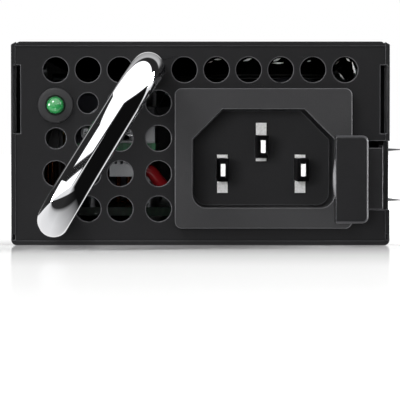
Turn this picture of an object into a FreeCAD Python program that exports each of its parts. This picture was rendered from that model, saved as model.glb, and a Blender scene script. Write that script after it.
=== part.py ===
"""Hot swap server power supply: black steel case, chromed U handle, AC inlet, side latch, inner fan.

Frame: X to the right of the face, Z up, the face towards -Y and the card edge towards +Y.
The origin is the centre of the case's underside.
"""
import FreeCAD, Part
import math
import os
import re

import Sketcher
from FreeCAD import Placement, Rotation, Vector

os.makedirs("parts", exist_ok=True)
doc = FreeCAD.newDocument("PowerSupply")

# ---------------------------------------------------------------- driving sizes, millimetres and degrees
SIZES = {
    # case, folded from sheet steel
    "case_width": 66.0,
    "case_height": 35.5,
    "case_length": 180.0,
    "steel_gauge": 0.8,
    "bend_radius": 0.95,
    "wall_drop": 0.3,
    "seat_gap": 0.05,
    "cover_lip": 6.0,
    "cover_screw_radius": 1.2,
    "cover_screw_head": 0.8,
    "cover_screw_length": 3.5,
    "cover_screw_drop": 4.0,
    "cover_screw_inset": 30.0,
    # perforated face plate
    "face_inset": 0.3,
    "face_return": 8.0,
    "vent_diameter": 4.4,
    "vent_small": 3.55,
    "vent_pitch": 5.6,
    "vent_row_pitch": 6.15,
    "vent_side": 7.0,
    "vent_top_drop": 4.9,
    "vent_field_drop": 10.7,
    "vent_floor": 6.35,
    "vent_inner_gap": 2.85,
    "edge_notch_width": 0.75,
    "edge_notch_drop": 4.1,
    "edge_notch_tall": 11.9,
    # carrying handle
    "handle_bar": 5.5,
    "handle_side": 7.7,
    "handle_run": 15.8,
    "handle_low": 4.9,
    "handle_top_drop": 5.3,
    "handle_reach": 24.0,
    "handle_bend": 7.0,
    "handle_screw_radius": 1.45,
    "handle_thread_depth": 7.0,
    "screw_head_radius": 2.6,
    "screw_head_height": 1.8,
    # AC inlet
    "inlet_side": 5.85,
    "inlet_drop": 1.075,
    "flange_width": 30.8,
    "flange_tall": 24.35,
    "flange_thick": 2.0,
    "flange_corner": 1.2,
    "housing_width": 27.2,
    "housing_tall": 19.8,
    "housing_floor": 3.0,
    "socket_width": 24.6,
    "socket_tall": 17.1,
    "socket_depth": 16.0,
    "socket_chamfer": 5.2,
    "socket_corner": 2.4,
    "blade_width": 2.0,
    "blade_tall": 4.0,
    "blade_spread": 7.0,
    "blade_offset": 2.05,
    "blade_setback": 1.5,
    "blade_tip": 1.2,
    "blade_tip_width": 0.87,
    "blade_tip_tall": 2.2,
    "blade_root_long": 2.3,
    "blade_root_short": 0.68,
    "blade_root_step": 0.8,
    "tab_length": 7.0,
    # status light
    "light_drop": 11.1,
    "light_radius": 1.5,
    "light_stand": 1.4,
    "collar_radius": 3.1,
    "collar_proud": 0.9,
    "barrel_radius": 2.3,
    "barrel_length": 4.0,
    "lead_side": 0.5,
    "lead_spread": 1.27,
    "lead_back": 3.0,
    # latch
    "pivot_side": 2.3,
    "pivot_depth": 32.0,
    "pivot_radius": 0.8,
    "running_gap": 0.05,
    "arm_side": 0.8,
    "arm_thick": 1.4,
    "arm_low": 6.5,
    "arm_high": 17.0,
    "arm_inner_low": 8.25,
    "arm_inner_high": 16.15,
    "arm_reach": 8.4,
    "arm_shoulder": 5.0,
    "block_side": 0.4,
    "block_width": 5.8,
    "block_clear": 1.0,
    "knuckle_radius": 1.9,
    "pad_side": 3.6,
    "pad_width": 5.6,
    "pad_low": 4.15,
    "pad_high": 19.15,
    "pad_thick": 4.0,
    "pad_proud": 10.4,
    "pad_round": 1.1,
    "pad_edge": 0.6,
    "catch_depth": 6.2,
    "catch_length": 8.0,
    "catch_web": 14.0,
    "ear_proud": 2.5,
    "ear_tip": 2.0,
    "notch_width": 5.6,
    "notch_low": 6.2,
    "notch_high": 18.2,
    "notch_depth": 3.0,
    "slot_clear": 0.35,
    "slot_travel": 1.2,
    "rivet_radius": 0.9,
    "rivet_head": 1.5,
    "rivet_cap": 0.4,
    "bracket_web_gap": 4.6,
    "bracket_reach": 3.0,
    "bracket_width": 6.2,
    "bracket_low": 6.5,
    "bracket_high": 22.0,
    "bracket_foot": 9.0,
    "spring_wire": 0.5,
    "spring_radius": 1.3,
    "spring_pitch": 0.75,
    "spring_turns": 3.0,
    "spring_leg": 5.0,
    # main board and its card edge
    "board_thick": 1.6,
    "board_height": 4.2,
    "board_side_gap": 0.6,
    "board_front": 30.0,
    "tongue_gap": 4.35,
    "tongue_side": 2.2,
    "tongue_proud": 9.0,
    "finger_length": 7.0,
    "finger_width": 1.5,
    "finger_pitch": 2.4,
    "finger_thick": 0.06,
    "standoff_radius": 2.2,
    "standoff_inset": 8.0,
    "board_screw_radius": 1.15,
    "board_screw_head": 2.2,
    "board_screw_tall": 1.2,
    # fan and rear panel
    "fan_headroom": 1.1,
    "fan_depth": 15.0,
    "fan_wall": 1.2,
    "fan_corner": 2.0,
    "fan_screw_inset": 2.4,
    "fan_screw_radius": 1.3,
    "fan_hub": 8.0,
    "fan_stator": 7.0,
    "fan_stator_depth": 3.0,
    "spoke_width": 2.0,
    "rotor_gap": 0.6,
    "rotor_depth": 9.0,
    "hub_round": 1.0,
    "blade_sheet": 0.9,
    "blade_edge": 0.3,
    "blade_root_pitch": 50.0,
    "blade_tip_pitch": 30.0,
    "blade_chord": 8.6,
    "blade_camber": 1.1,
    "shaft_radius": 1.0,
    "bearing_radius": 2.4,
    "guard_sheet": 0.9,
    "guard_width": 1.3,
    "guard_step": 4.0,
    # filter board and what it carries
    "filter_side": 10.2,
    "filter_gap": 3.45,
    "filter_height": 16.2,
    "filter_depth": 5.0,
    "filter_length": 40.0,
    "filter_post": 1.6,
    "xcap_left_gap": 1.7,
    "xcap_right_gap": 0.15,
    "xcap_tall": 6.5,
    "xcap_slope": 1.6,
    "xcap_slope_run": 2.4,
    "xcap_depth": 3.0,
    "xcap_length": 26.0,
    "clamp_length": 2.4,
    "clamp_screw_inset": 0.9,
    "clamp_screw_pitch": 6.2,
    "clamp_screw_radius": 1.9,
    "clamp_screw_tall": 1.3,
    "plug_inset": 3.9,
    "plug_width": 4.2,
    "plug_low": 11.9,
    "plug_tall": 2.7,
    "plug_length": 6.0,
    "pin_side": 0.5,
    "fuse_radius": 2.6,
    "fuse_gap": 5.4,
    "fuse_length": 20.0,
    "wire_radius": 1.1,
    "wire_bend": 4.0,
    "wire_landing": 12.0,
    "wire_turn_back": 7.6,
    "wire_exit": 2.64,
    "wire_side_gap": 2.75,
    "wire_under": 3.3,
    # power stage
    "bulk_radius": 12.5,
    "bulk_front": 20.0,
    "bulk_side": 1.0,
    "bulk_rear_gap": 5.35,
    "bulk_bead": 0.6,
    "bulk_bead_place": 3.0,
    "coil_side": 11.4,
    "boost_gap": 0.9,
    "boost_radius": 9.0,
    "boost_bore": 4.5,
    "boost_tall": 7.0,
    "boost_wire": 1.1,
    "sink_tall": 24.0,
    "sink_front": 30.0,
    "sink_between": 2.0,
    "sink_rear_gap": 6.15,
    "output_sink_side": 12.2,
    "sink_base": 2.4,
    "fin_reach": 7.0,
    "fin_gap": 2.2,
    "fin_thick": 1.0,
    "fin_pitch": 3.4,
    "device_width": 10.0,
    "device_tall": 15.0,
    "device_thick": 4.4,
    "device_pitch": 12.0,
    "device_gap": 2.2,
    "core_gap": 5.9,
    "core_width": 14.0,
    "core_tall": 22.0,
    "core_length": 24.0,
    "core_leg": 3.5,
    "coil_gap": 0.3,
    "bridge_thick": 4.0,
    "bridge_back": 10.0,
    "bridge_width": 18.0,
    "bridge_tall": 14.0,
    "output_radius": 4.0,
    "output_tall": 20.0,
    "output_pitch": 8.8,
    "output_gap": 0.6,
    "output_rear": 6.0,
    "film_thick": 0.2,
}
sheet = doc.addObject("Spreadsheet::Sheet", "Sizes")
for row, (alias, value) in enumerate(SIZES.items(), 1):
    sheet.set(f"A{row}", alias.replace("_", " "))
    sheet.set(f"B{row}", str(value))
    sheet.setAlias(f"B{row}", alias)
doc.recompute()

# ---------------------------------------------------------------- places worked out from the sizes
FRONT = "(-case_length / 2)"
REAR = "(case_length / 2)"
WALL = "(case_width / 2 - steel_gauge)"
ROOF = "(case_height - steel_gauge)"
PLATE = f"({FRONT} + face_inset)"
PLATE_BACK = f"({PLATE} + steel_gauge)"
BOARD_TOP = "(board_height + board_thick)"
FLANGE = f"({PLATE} - flange_thick)"
SOCKET_FLOOR = f"({FLANGE} + socket_depth)"
HOUSING_BACK = f"({SOCKET_FLOOR} + housing_floor)"
PIVOT = f"({FRONT} + pivot_depth)"
PIVOT_X = f"({WALL} - pivot_side)"
ARM_RIGHT = f"({WALL} - arm_side)"
ARM_LEFT = f"({ARM_RIGHT} - arm_thick)"
CATCH = f"({FRONT} + catch_depth)"
FAN_SIDE = "(case_height - 2 * steel_gauge - fan_headroom)"
FAN_BORE = f"({FAN_SIDE} / 2 - fan_wall)"
FAN_PITCH = f"({FAN_SIDE} - 2 * fan_screw_inset)"
FAN_X = f"(-{WALL} + seat_gap + {FAN_SIDE} / 2)"
FAN_Z = f"(steel_gauge + seat_gap + {FAN_SIDE} / 2)"
TONGUE_LEFT = f"({FAN_X} + {FAN_SIDE} / 2 + tongue_gap)"
TONGUE_RIGHT = f"({WALL} - tongue_side)"
TONGUE_X = f"(({TONGUE_LEFT} + {TONGUE_RIGHT}) / 2)"
PANEL = f"({REAR} - steel_gauge)"
FAN_BACK = f"({PANEL} - seat_gap)"
FAN_FRONT = f"({FAN_BACK} - fan_depth)"
FILTER_TOP = "(filter_height + board_thick)"
FILTER_FRONT = f"({FRONT} + filter_depth)"
BOARD_FRONT = f"({FRONT} + board_front)"
INLET_X = f"({WALL} - inlet_side - flange_width / 2)"
FLANGE_LEFT = f"({INLET_X} - flange_width / 2)"
COLUMN_X = f"(-{WALL} + vent_side)"
INNER_COLUMN_X = f"({FLANGE_LEFT} - vent_inner_gap)"
VENT_TOP_Z = "(case_height - vent_top_drop)"
VENT_FIELD_Z = "(case_height - vent_field_drop)"
INLET_Z = f"({VENT_TOP_Z} - vent_diameter / 2 - inlet_drop - flange_tall / 2)"
LIGHT_X, LIGHT_Z = COLUMN_X, "(case_height - light_drop)"
HANDLE_RISE = "(case_height - handle_top_drop - handle_low)"
HANDLE_PITCH = f"sqrt(handle_run ^ 2 + {HANDLE_RISE} ^ 2)"
HANDLE_X = f"(-{WALL} + handle_side + handle_run / 2)"
HANDLE_Z = f"(handle_low + {HANDLE_RISE} / 2)"
BLOCK_RIGHT = f"({WALL} - block_side)"
PAD_RIGHT = f"({WALL} - pad_side)"
BRACKET_LEFT = f"({WALL} - bracket_width)"
FILTER_LEFT = f"(-{WALL} + filter_side)"
FILTER_RIGHT = f"({FLANGE_LEFT} - filter_gap)"
XCAP_LEFT = f"({FILTER_LEFT} + xcap_left_gap)"
XCAP_RIGHT = f"({FILTER_RIGHT} - xcap_right_gap)"
PLUG_RIGHT = f"({FILTER_RIGHT} - plug_inset)"
PLUG_LEFT = f"({PLUG_RIGHT} - plug_width)"
COIL_X = f"(-{WALL} + coil_side)"
BOOST_Y = f"({FILTER_FRONT} + filter_length + boost_gap + boost_radius + boost_wire)"
CORE_Y = f"({BOOST_Y} + boost_radius + boost_wire + core_gap + core_length / 2)"
COIL_RADIUS = "(core_length / 2 - core_leg - coil_gap)"
SCREW_X = f"({WALL} - board_side_gap - standoff_inset)"
OUTPUT_X = f"({SCREW_X} - board_screw_head - output_gap - output_radius)"
OUTPUT_Y = f"({FAN_FRONT} - output_rear)"
OUTPUT_ROWS, OUTPUT_COLUMNS = 2, 3
BULK_X = f"({WALL} - board_side_gap - bulk_side - bulk_radius)"
BULK_FRONT = f"({BOARD_FRONT} + bulk_front)"
BULK_REAR = f"({OUTPUT_Y} - {OUTPUT_COLUMNS - 1} * output_pitch - output_radius - bulk_rear_gap)"
BULK_LENGTH = f"(({BULK_REAR} - {BULK_FRONT}) / 2 - bulk_bead)"
SINK_FRONT = f"({BOARD_FRONT} + sink_front)"
SINK_LENGTH = f"(({FAN_FRONT} - sink_rear_gap - {SINK_FRONT} - sink_between) / 2)"
TINY = 1e-6


# ---------------------------------------------------------------- ways of making a piece
def worded(text):
    """The expression with each size's name pointing at its cell."""
    return re.sub(r"[a-z]+(?:_[a-z]+)+", lambda word: "Sizes." + word.group(), text)


def number(text):
    """The value of an expression in the sizes."""
    return float(FreeCAD.Units.Quantity(str(sheet.evalExpression(text))).Value)


def bind(item, prop, text):
    item.setExpression(prop, worded(text))


def move(item, x="0", y="0", z="0"):
    for axis, text in zip("xyz", (x, y, z)):
        bind(item, f"Placement.Base.{axis}", text)
    return item


def brick(name, x, y, z):
    """A block between two values on each axis."""
    box = doc.addObject("Part::Box", name)
    for side, axis, (low, high) in zip(("Length", "Width", "Height"), "xyz", (x, y, z)):
        bind(box, side, f"({high}) - ({low})")
        bind(box, f"Placement.Base.{axis}", low)
    return box


TURNS = {"x": Rotation(Vector(0, 1, 0), 90), "y": Rotation(Vector(1, 0, 0), -90), "z": Rotation()}


def rod(name, axis, x, y, z, radius, length):
    """A cylinder from a point along one axis."""
    bar = doc.addObject("Part::Cylinder", name)
    bind(bar, "Radius", radius)
    bind(bar, "Height", length)
    bar.Placement = Placement(Vector(), TURNS[axis])
    return move(bar, x, y, z)


def taper(name, axis, x, y, z, radii, length):
    """A cone from a point along one axis."""
    cone = doc.addObject("Part::Cone", name)
    bind(cone, "Radius1", radii[0])
    bind(cone, "Radius2", radii[1])
    bind(cone, "Height", length)
    cone.Placement = Placement(Vector(), TURNS[axis])
    return move(cone, x, y, z)


def joined(name, pieces):
    whole = doc.addObject("Part::MultiFuse", name)
    whole.Shapes = pieces
    return whole


def cut(name, base, tools):
    whole = doc.addObject("Part::Cut", name)
    whole.Base = base
    whole.Tool = tools[0] if len(tools) == 1 else joined(name + "_tools", tools)
    return whole


def group(name, pieces):
    """Separate solids kept as one node."""
    whole = doc.addObject("Part::Compound", name)
    whole.Links = pieces
    return whole


def solid(name, shape):
    """A computed shape."""
    item = doc.addObject("Part::Feature", name)
    item.Shape = shape
    return item


def new_body(name):
    return doc.addObject("PartDesign::Body", name)


def sketch_on(body, name, role="XZ_Plane", offset="0"):
    """A sketch on the body's own origin plane, offset along that plane's normal."""
    sketch = body.newObject("Sketcher::SketchObject", name)
    plane = [item for item in body.Origin.OriginFeatures if item.Role == role][0]
    sketch.AttachmentSupport = [(plane, "")]
    sketch.MapMode = "FlatFace"
    bind(sketch, "AttachmentOffset.Base.z", offset)
    return sketch


def face_sketch(body, name, depth):
    """A sketch in X and Z that stands at the given Y."""
    return sketch_on(body, name, "XZ_Plane", f"-({depth})")


def pin_point(sketch, geometry, point, x, y):
    for kind, text in (("DistanceX", x), ("DistanceY", y)):
        index = sketch.addConstraint(Sketcher.Constraint(kind, -1, 1, geometry, point, number(text)))
        bind(sketch, f"Constraints[{index}]", text)


def outline(sketch, corners):
    """A closed outline through corners given as pairs of expressions."""
    spots = [Vector(number(x), number(y), 0) for x, y in corners]
    lines = [sketch.addGeometry(Part.LineSegment(spot, spots[(i + 1) % len(spots)]))
             for i, spot in enumerate(spots)]
    for i, line in enumerate(lines):
        sketch.addConstraint(Sketcher.Constraint("Coincident", line, 2, lines[(i + 1) % len(lines)], 1))
    for line, (x, y) in zip(lines, corners):
        pin_point(sketch, line, 1, x, y)
    return sketch


def rectangle(sketch, x, y):
    return outline(sketch, [(x[0], y[0]), (x[1], y[0]), (x[1], y[1]), (x[0], y[1])])


def ring(sketch, x, y, radius):
    circle = sketch.addGeometry(Part.Circle(Vector(number(x), number(y), 0), Vector(0, 0, 1), number(radius)))
    pin_point(sketch, circle, 3, x, y)
    index = sketch.addConstraint(Sketcher.Constraint("Radius", circle, number(radius)))
    bind(sketch, f"Constraints[{index}]", radius)
    return sketch


def pad(body, sketch, length, backwards=True):
    feature = body.newObject("PartDesign::Pad", sketch.Name + "_pad")
    feature.Profile = sketch
    feature.Reversed = backwards
    bind(feature, "Length", length)
    doc.recompute()
    return feature


def pocket(body, sketch, length, backwards=False):
    """Cuts the sketch into the body and makes sure that something was cut."""
    before = body.Shape.Volume
    feature = body.newObject("PartDesign::Pocket", sketch.Name + "_pocket")
    feature.Profile = sketch
    feature.Reversed = backwards
    bind(feature, "Length", length)
    doc.recompute()
    if body.Shape.Volume > before - TINY:
        raise RuntimeError(f"{sketch.Name} cuts nothing")
    return feature


def edges_along(feature, axis, keep):
    """Names of the straight edges along an axis whose middle passes the test."""
    names = []
    for index, edge in enumerate(feature.Shape.Edges, 1):
        run = edge.Vertexes[-1].Point - edge.Vertexes[0].Point
        straight = abs(edge.Length - run.Length) < TINY and edge.Length > TINY
        if straight and abs(abs(run.dot(axis)) - run.Length) < TINY and keep(edge.CenterOfMass):
            names.append(f"Edge{index}")
    return names


def rounded(body, feature, radius, edges, kind="PartDesign::Fillet"):
    finish = body.newObject(kind, feature.Name + "_edge")
    finish.Base = (feature, edges)
    bind(finish, "Size" if kind.endswith("Chamfer") else "Radius", radius)
    doc.recompute()
    return finish


def bent_path(points, bend):
    """Straight runs joined by tangent arcs."""
    edges, start = [], points[0]
    for before, corner, after in zip(points, points[1:], points[2:]):
        into, out = (corner - before).normalize(), (after - corner).normalize()
        half = into.getAngle(out) / 2
        reach = bend * math.tan(half)
        first, last = corner - into * reach, corner + out * reach
        toward = (out - into).normalize()
        middle = corner + toward * (bend / math.cos(half) - bend)
        edges += [Part.LineSegment(start, first).toShape(), Part.Arc(first, middle, last).toShape()]
        start = last
    return Part.Wire(edges + [Part.LineSegment(start, points[-1]).toShape()])


def round_wire(points, radius, bend):
    """A round wire along a path of runs and arcs."""
    path = bent_path(points, bend)
    section = Part.Wire(Part.makeCircle(radius, points[0], points[1] - points[0]))
    return path.makePipeShell([section], True, True)


def spot(x, y, z):
    return Vector(number(x), number(y), number(z))


ALONG_X, ALONG_Y, ALONG_Z = Vector(1, 0, 0), Vector(0, 1, 0), Vector(0, 0, 1)
SUB_PARTS = []


def sub_part(item, label):
    item.Label = label
    SUB_PARTS.append(item)
    return item


COVER_SCREW_Z = "(case_height - cover_screw_drop)"


# ---------------------------------------------------------------- case tray: floor and side walls in one fold
def cover_screw_places():
    """Depths of the three cover screws on each side."""
    return [f"({FRONT} + cover_screw_inset)", "0", f"({REAR} - cover_screw_inset)"]


def case_tray():
    body = new_body("tray")
    fold = face_sketch(body, "tray_fold", FRONT)
    top = "case_height - wall_drop"
    outline(fold, [("-case_width / 2", "0"), ("case_width / 2", "0"), ("case_width / 2", top),
                   (WALL, top), (WALL, "steel_gauge"), (f"-{WALL}", "steel_gauge"),
                   (f"-{WALL}", top), ("-case_width / 2", top)])
    folded = pad(body, fold, "case_length")
    corners = edges_along(folded, ALONG_Y, lambda at: at.z < TINY)
    rounded(body, folded, "bend_radius", corners)
    mouth = sketch_on(body, "tray_mouth", "YZ_Plane", "case_width / 2")
    rectangle(mouth, (FRONT, f"{FRONT} + notch_depth"), ("notch_low", "notch_high"))
    pocket(body, mouth, "2 * steel_gauge")
    slots = sketch_on(body, "ear_slots", "YZ_Plane", "case_width / 2")
    for low, high in ear_levels():
        rectangle(slots, (f"{CATCH} - slot_travel", f"{CATCH} + catch_length + slot_clear"),
                  (f"{low} - slot_clear", f"{high} + slot_clear"))
    pocket(body, slots, "2 * steel_gauge")
    holes = []
    for number_, (side, depth) in enumerate((s, d) for s in (-1, 1) for d in cover_screw_places()):
        holes.append(taper(f"tray_sink_{number_}", "x", f"{side} * {WALL}", depth, COVER_SCREW_Z,
                           ("cover_screw_radius + seat_gap", "cover_screw_radius + cover_screw_head"),
                           "steel_gauge"))
        if side < 0:
            holes[-1].Placement.Rotation = Rotation(ALONG_Y, -90)
    return sub_part(cut("tray_drilled", body, holes), "case_tray")


# ---------------------------------------------------------------- case cover: lid between the walls
def case_cover():
    body = new_body("cover")
    fold = face_sketch(body, "cover_fold", FRONT)
    edge, inner = f"({WALL} - seat_gap)", f"({WALL} - seat_gap - steel_gauge)"
    low = "case_height - cover_lip"
    outline(fold, [(f"-{edge}", low), (f"-{inner}", low), (f"-{inner}", ROOF), (inner, ROOF),
                   (inner, low), (edge, low), (edge, "case_height"), (f"-{edge}", "case_height")])
    folded = pad(body, fold, "case_length")
    corners = edges_along(folded, ALONG_Y, lambda at: at.z > number("case_height") - TINY)
    rounded(body, folded, "steel_gauge", corners)
    trim = sketch_on(body, "lip_trim", "XY_Plane", "case_height - cover_lip")
    ends = ((FRONT, f"{PLATE_BACK} + face_return + seat_gap"), (f"{FAN_FRONT} - seat_gap", REAR))
    for low_y, high_y in ends:
        rectangle(trim, ("-case_width / 2", "case_width / 2"), (low_y, high_y))
    pocket(body, trim, "cover_lip - steel_gauge", True)
    holes = [rod(f"lip_hole_{index}", "x", "-case_width", depth, COVER_SCREW_Z,
                 "cover_screw_radius + seat_gap", "2 * case_width")
             for index, depth in enumerate(cover_screw_places())]
    return sub_part(cut("cover_drilled", body, holes), "case_cover")


def cover_screws():
    """Countersunk screws, flush with the side walls."""
    screws = []
    for index, (side, depth) in enumerate((s, d) for s in (-1, 1) for d in cover_screw_places()):
        name = f"cover_screw_{index}"
        rim = "cover_screw_radius + cover_screw_head - seat_gap"
        head = taper(name + "_head", "x", f"{side} * {WALL}", depth, COVER_SCREW_Z,
                     ("cover_screw_radius", rim), "steel_gauge")
        shank = rod(name + "_shank", "x", f"{side} * ({WALL} + seat_gap)", depth, COVER_SCREW_Z,
                    "cover_screw_radius", "cover_screw_length")
        if side < 0:
            head.Placement.Rotation = Rotation(ALONG_Y, -90)
        else:
            shank.Placement.Rotation = Rotation(ALONG_Y, -90)
        screws.append(joined(name, [head, shank]))
    return sub_part(group("cover_screw_set", screws), "cover_screws")


# ---------------------------------------------------------------- face plate: perforated front
HANDLE_COLUMN = 3


def vent_places():
    """Each vent's place and diameter. The handle's legs and the light take the places left out."""
    def fitting(room, pitch):
        return int(number(f"{room} / {pitch}") + TINY)

    top = fitting(f"(2 * {WALL} - 2 * vent_side)", "vent_pitch") + 1
    field = fitting(f"({INNER_COLUMN_X} - {COLUMN_X})", "vent_pitch")
    rows = fitting(f"({VENT_FIELD_Z} - vent_floor)", "vent_row_pitch") + 1
    across = [f"({COLUMN_X} + {index} * vent_pitch)" for index in range(top)]
    places = [(place, VENT_TOP_Z, "vent_diameter") for index, place in enumerate(across)
              if index != HANDLE_COLUMN]
    taken, small = {(0, 0), (0, rows - 1)}, {(1, 0), (0, 1)}
    for column, place in enumerate(across[:field] + [INNER_COLUMN_X]):
        for level in range(rows):
            if (column, level) not in taken:
                size = "vent_small" if (column, level) in small else "vent_diameter"
                places.append((place, f"{VENT_FIELD_Z} - {level} * vent_row_pitch", size))
    return places


def handle_feet():
    """Places of the handle's two legs on the face."""
    low = f"(-{WALL} + handle_side)"
    return [(f"({low} + handle_run)", "(case_height - handle_top_drop)"), (low, "handle_low")]


def face_plate():
    body = new_body("face")
    edge = f"({WALL} - seat_gap)"
    low, high = "(steel_gauge + seat_gap)", f"({ROOF} - seat_gap)"
    front = rectangle(face_sketch(body, "face_front", PLATE), (f"-{edge}", edge), (low, high))
    pad(body, front, "steel_gauge")
    inset = f"({edge} - bend_radius)"
    returns = face_sketch(body, "face_returns", f"{PLATE} + steel_gauge")
    rectangle(returns, (f"-{inset}", inset), (low, f"{low} + steel_gauge"))
    rectangle(returns, (f"-{inset}", inset), (f"{high} - steel_gauge", high))
    pad(body, returns, "face_return")
    vents = face_sketch(body, "vents", PLATE)
    for across, height, size in vent_places():
        ring(vents, across, height, f"{size} / 2")
    ring(vents, LIGHT_X, LIGHT_Z, "barrel_radius + seat_gap")
    for across, height in handle_feet():
        ring(vents, across, height, "handle_screw_radius + seat_gap")
    pocket(body, vents, "steel_gauge")
    cuts = face_sketch(body, "face_cuts", PLATE)
    half_wide, half_tall = "(housing_width / 2 + seat_gap)", "(housing_tall / 2 + seat_gap)"
    rectangle(cuts, (f"{INLET_X} - {half_wide}", f"{INLET_X} + {half_wide}"),
              (f"{INLET_Z} - {half_tall}", f"{INLET_Z} + {half_tall}"))
    past = f"({edge} + steel_gauge)"
    rectangle(cuts, (f"{WALL} - notch_width", past), ("notch_low", "notch_high"))
    notch_top = "case_height - edge_notch_drop"
    notch_rise = (f"{notch_top} - edge_notch_tall", notch_top)
    rectangle(cuts, (f"{edge} - edge_notch_width", past), notch_rise)
    rectangle(cuts, (f"-{past}", f"-{edge} + edge_notch_width"), notch_rise)
    pocket(body, cuts, "steel_gauge")
    return sub_part(body, "face_plate")


# ---------------------------------------------------------------- carrying handle: bent bar and its screws
def handle():
    body = new_body("bar")
    half, deep = f"({HANDLE_PITCH} / 2)", "-(handle_reach - handle_bend)"
    turn = f"({half} - handle_bend)"
    path = sketch_on(body, "bar_path", "XY_Plane")
    stops = [(f"-{half}", "0"), (f"-{half}", deep), (f"-{turn}", "-handle_reach"),
             (turn, "-handle_reach"), (half, deep), (half, "0")]
    spots = [Vector(number(x), number(y), 0) for x, y in stops]
    lines = [path.addGeometry(Part.LineSegment(spots[i], spots[i + 1])) for i in (0, 2, 4)]
    radius = number("handle_bend")
    left, right = Vector(-number(turn), number(deep), 0), Vector(number(turn), number(deep), 0)
    arcs = [path.addGeometry(Part.ArcOfCircle(Part.Circle(left, ALONG_Z, radius), math.pi, 1.5 * math.pi)),
            path.addGeometry(Part.ArcOfCircle(Part.Circle(right, ALONG_Z, radius), 1.5 * math.pi,
                                              2 * math.pi))]
    for line, first in zip(lines, (0, 2, 4)):
        pin_point(path, line, 1, *stops[first])
        pin_point(path, line, 2, *stops[first + 1])
    for arc, before, after in ((arcs[0], lines[0], lines[1]), (arcs[1], lines[1], lines[2])):
        path.addConstraint(Sketcher.Constraint("Coincident", arc, 1, before, 2))
        path.addConstraint(Sketcher.Constraint("Coincident", arc, 2, after, 1))
        index = path.addConstraint(Sketcher.Constraint("Radius", arc, radius))
        bind(path, f"Constraints[{index}]", "handle_bend")
    section = ring(sketch_on(body, "bar_section"), f"-{half}", "0", "handle_bar / 2")
    doc.recompute()
    pipe = body.newObject("PartDesign::AdditivePipe", "bar_pipe")
    pipe.Profile = section
    pipe.Spine = (path, [f"Edge{index + 1}" for index in range(len(path.Shape.Edges))])
    doc.recompute()
    threads = sketch_on(body, "bar_threads")
    for across in (f"-{half}", half):
        ring(threads, across, "0", "handle_screw_radius + seat_gap")
    pocket(body, threads, "handle_thread_depth + seat_gap", True)
    body.Placement = Placement(Vector(), Rotation(Vector(0, -1, 0), 1))
    bind(body, "Placement.Rotation.Angle", f"atan({HANDLE_RISE} / handle_run)")
    return sub_part(move(body, HANDLE_X, PLATE, HANDLE_Z), "handle")


def handle_screws():
    screws = []
    for index, (across, height) in enumerate(handle_feet()):
        head = rod(f"handle_head_{index}", "y", across, PLATE_BACK, height,
                   "screw_head_radius", "screw_head_height")
        shank = rod(f"handle_shank_{index}", "y", across, f"{PLATE} - handle_thread_depth", height,
                    "handle_screw_radius", "handle_thread_depth + steel_gauge + screw_head_height / 2")
        screws.append(joined(f"handle_screw_{index}", [head, shank]))
    return sub_part(group("handle_screw_set", screws), "handle_screws")


# ---------------------------------------------------------------- AC inlet: moulded body and three blades
def inlet_box(wide, tall, chamfer):
    """A rectangle about the inlet's centre with its two upper corners cut off."""
    left, right = f"({INLET_X} - {wide} / 2)", f"({INLET_X} + {wide} / 2)"
    low, high = f"({INLET_Z} - {tall} / 2)", f"({INLET_Z} + {tall} / 2)"
    return [(left, low), (right, low), (right, f"{high} - {chamfer}"), (f"{right} - {chamfer}", high),
            (f"{left} + {chamfer}", high), (left, f"{high} - {chamfer}")]


BLADES = {"line": ("-blade_spread", "-blade_offset", 1), "neutral": ("blade_spread", "-blade_offset", 1),
          "earth": ("0", "blade_offset", -1)}


def inlet_body():
    body = new_body("inlet")
    across, tall = "flange_width / 2", "flange_tall / 2"
    flange = rectangle(face_sketch(body, "flange", FLANGE),
                       (f"{INLET_X} - {across}", f"{INLET_X} + {across}"),
                       (f"{INLET_Z} - {tall}", f"{INLET_Z} + {tall}"))
    plate = pad(body, flange, "flange_thick")
    rounded(body, plate, "flange_corner", edges_along(plate, ALONG_Y, lambda at: True))
    housing = outline(face_sketch(body, "housing", PLATE),
                      inlet_box("housing_width", "housing_tall", "socket_chamfer"))
    pad(body, housing, f"{HOUSING_BACK} - {PLATE}")
    mouth = outline(face_sketch(body, "socket", FLANGE),
                    inlet_box("socket_width", "socket_tall", "socket_chamfer"))
    sunk = pocket(body, mouth, "socket_depth")
    floor = number(f"{INLET_Z} - socket_tall / 2")
    lower = edges_along(sunk, ALONG_Y, lambda at: abs(at.z - floor) < TINY)
    rounded(body, sunk, "socket_corner", lower)
    slots = face_sketch(body, "blade_slots", SOCKET_FLOOR)
    for side, rise, _ in BLADES.values():
        middle_x, middle_z = f"({INLET_X} + {side})", f"({INLET_Z} + {rise})"
        half_wide, half_tall = "(blade_width / 2 + seat_gap)", "(blade_tall / 2 + seat_gap)"
        rectangle(slots, (f"{middle_x} - {half_wide}", f"{middle_x} + {half_wide}"),
                  (f"{middle_z} - {half_tall}", f"{middle_z} + {half_tall}"))
    pocket(body, slots, "housing_floor")
    return sub_part(body, "inlet_body")


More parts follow.
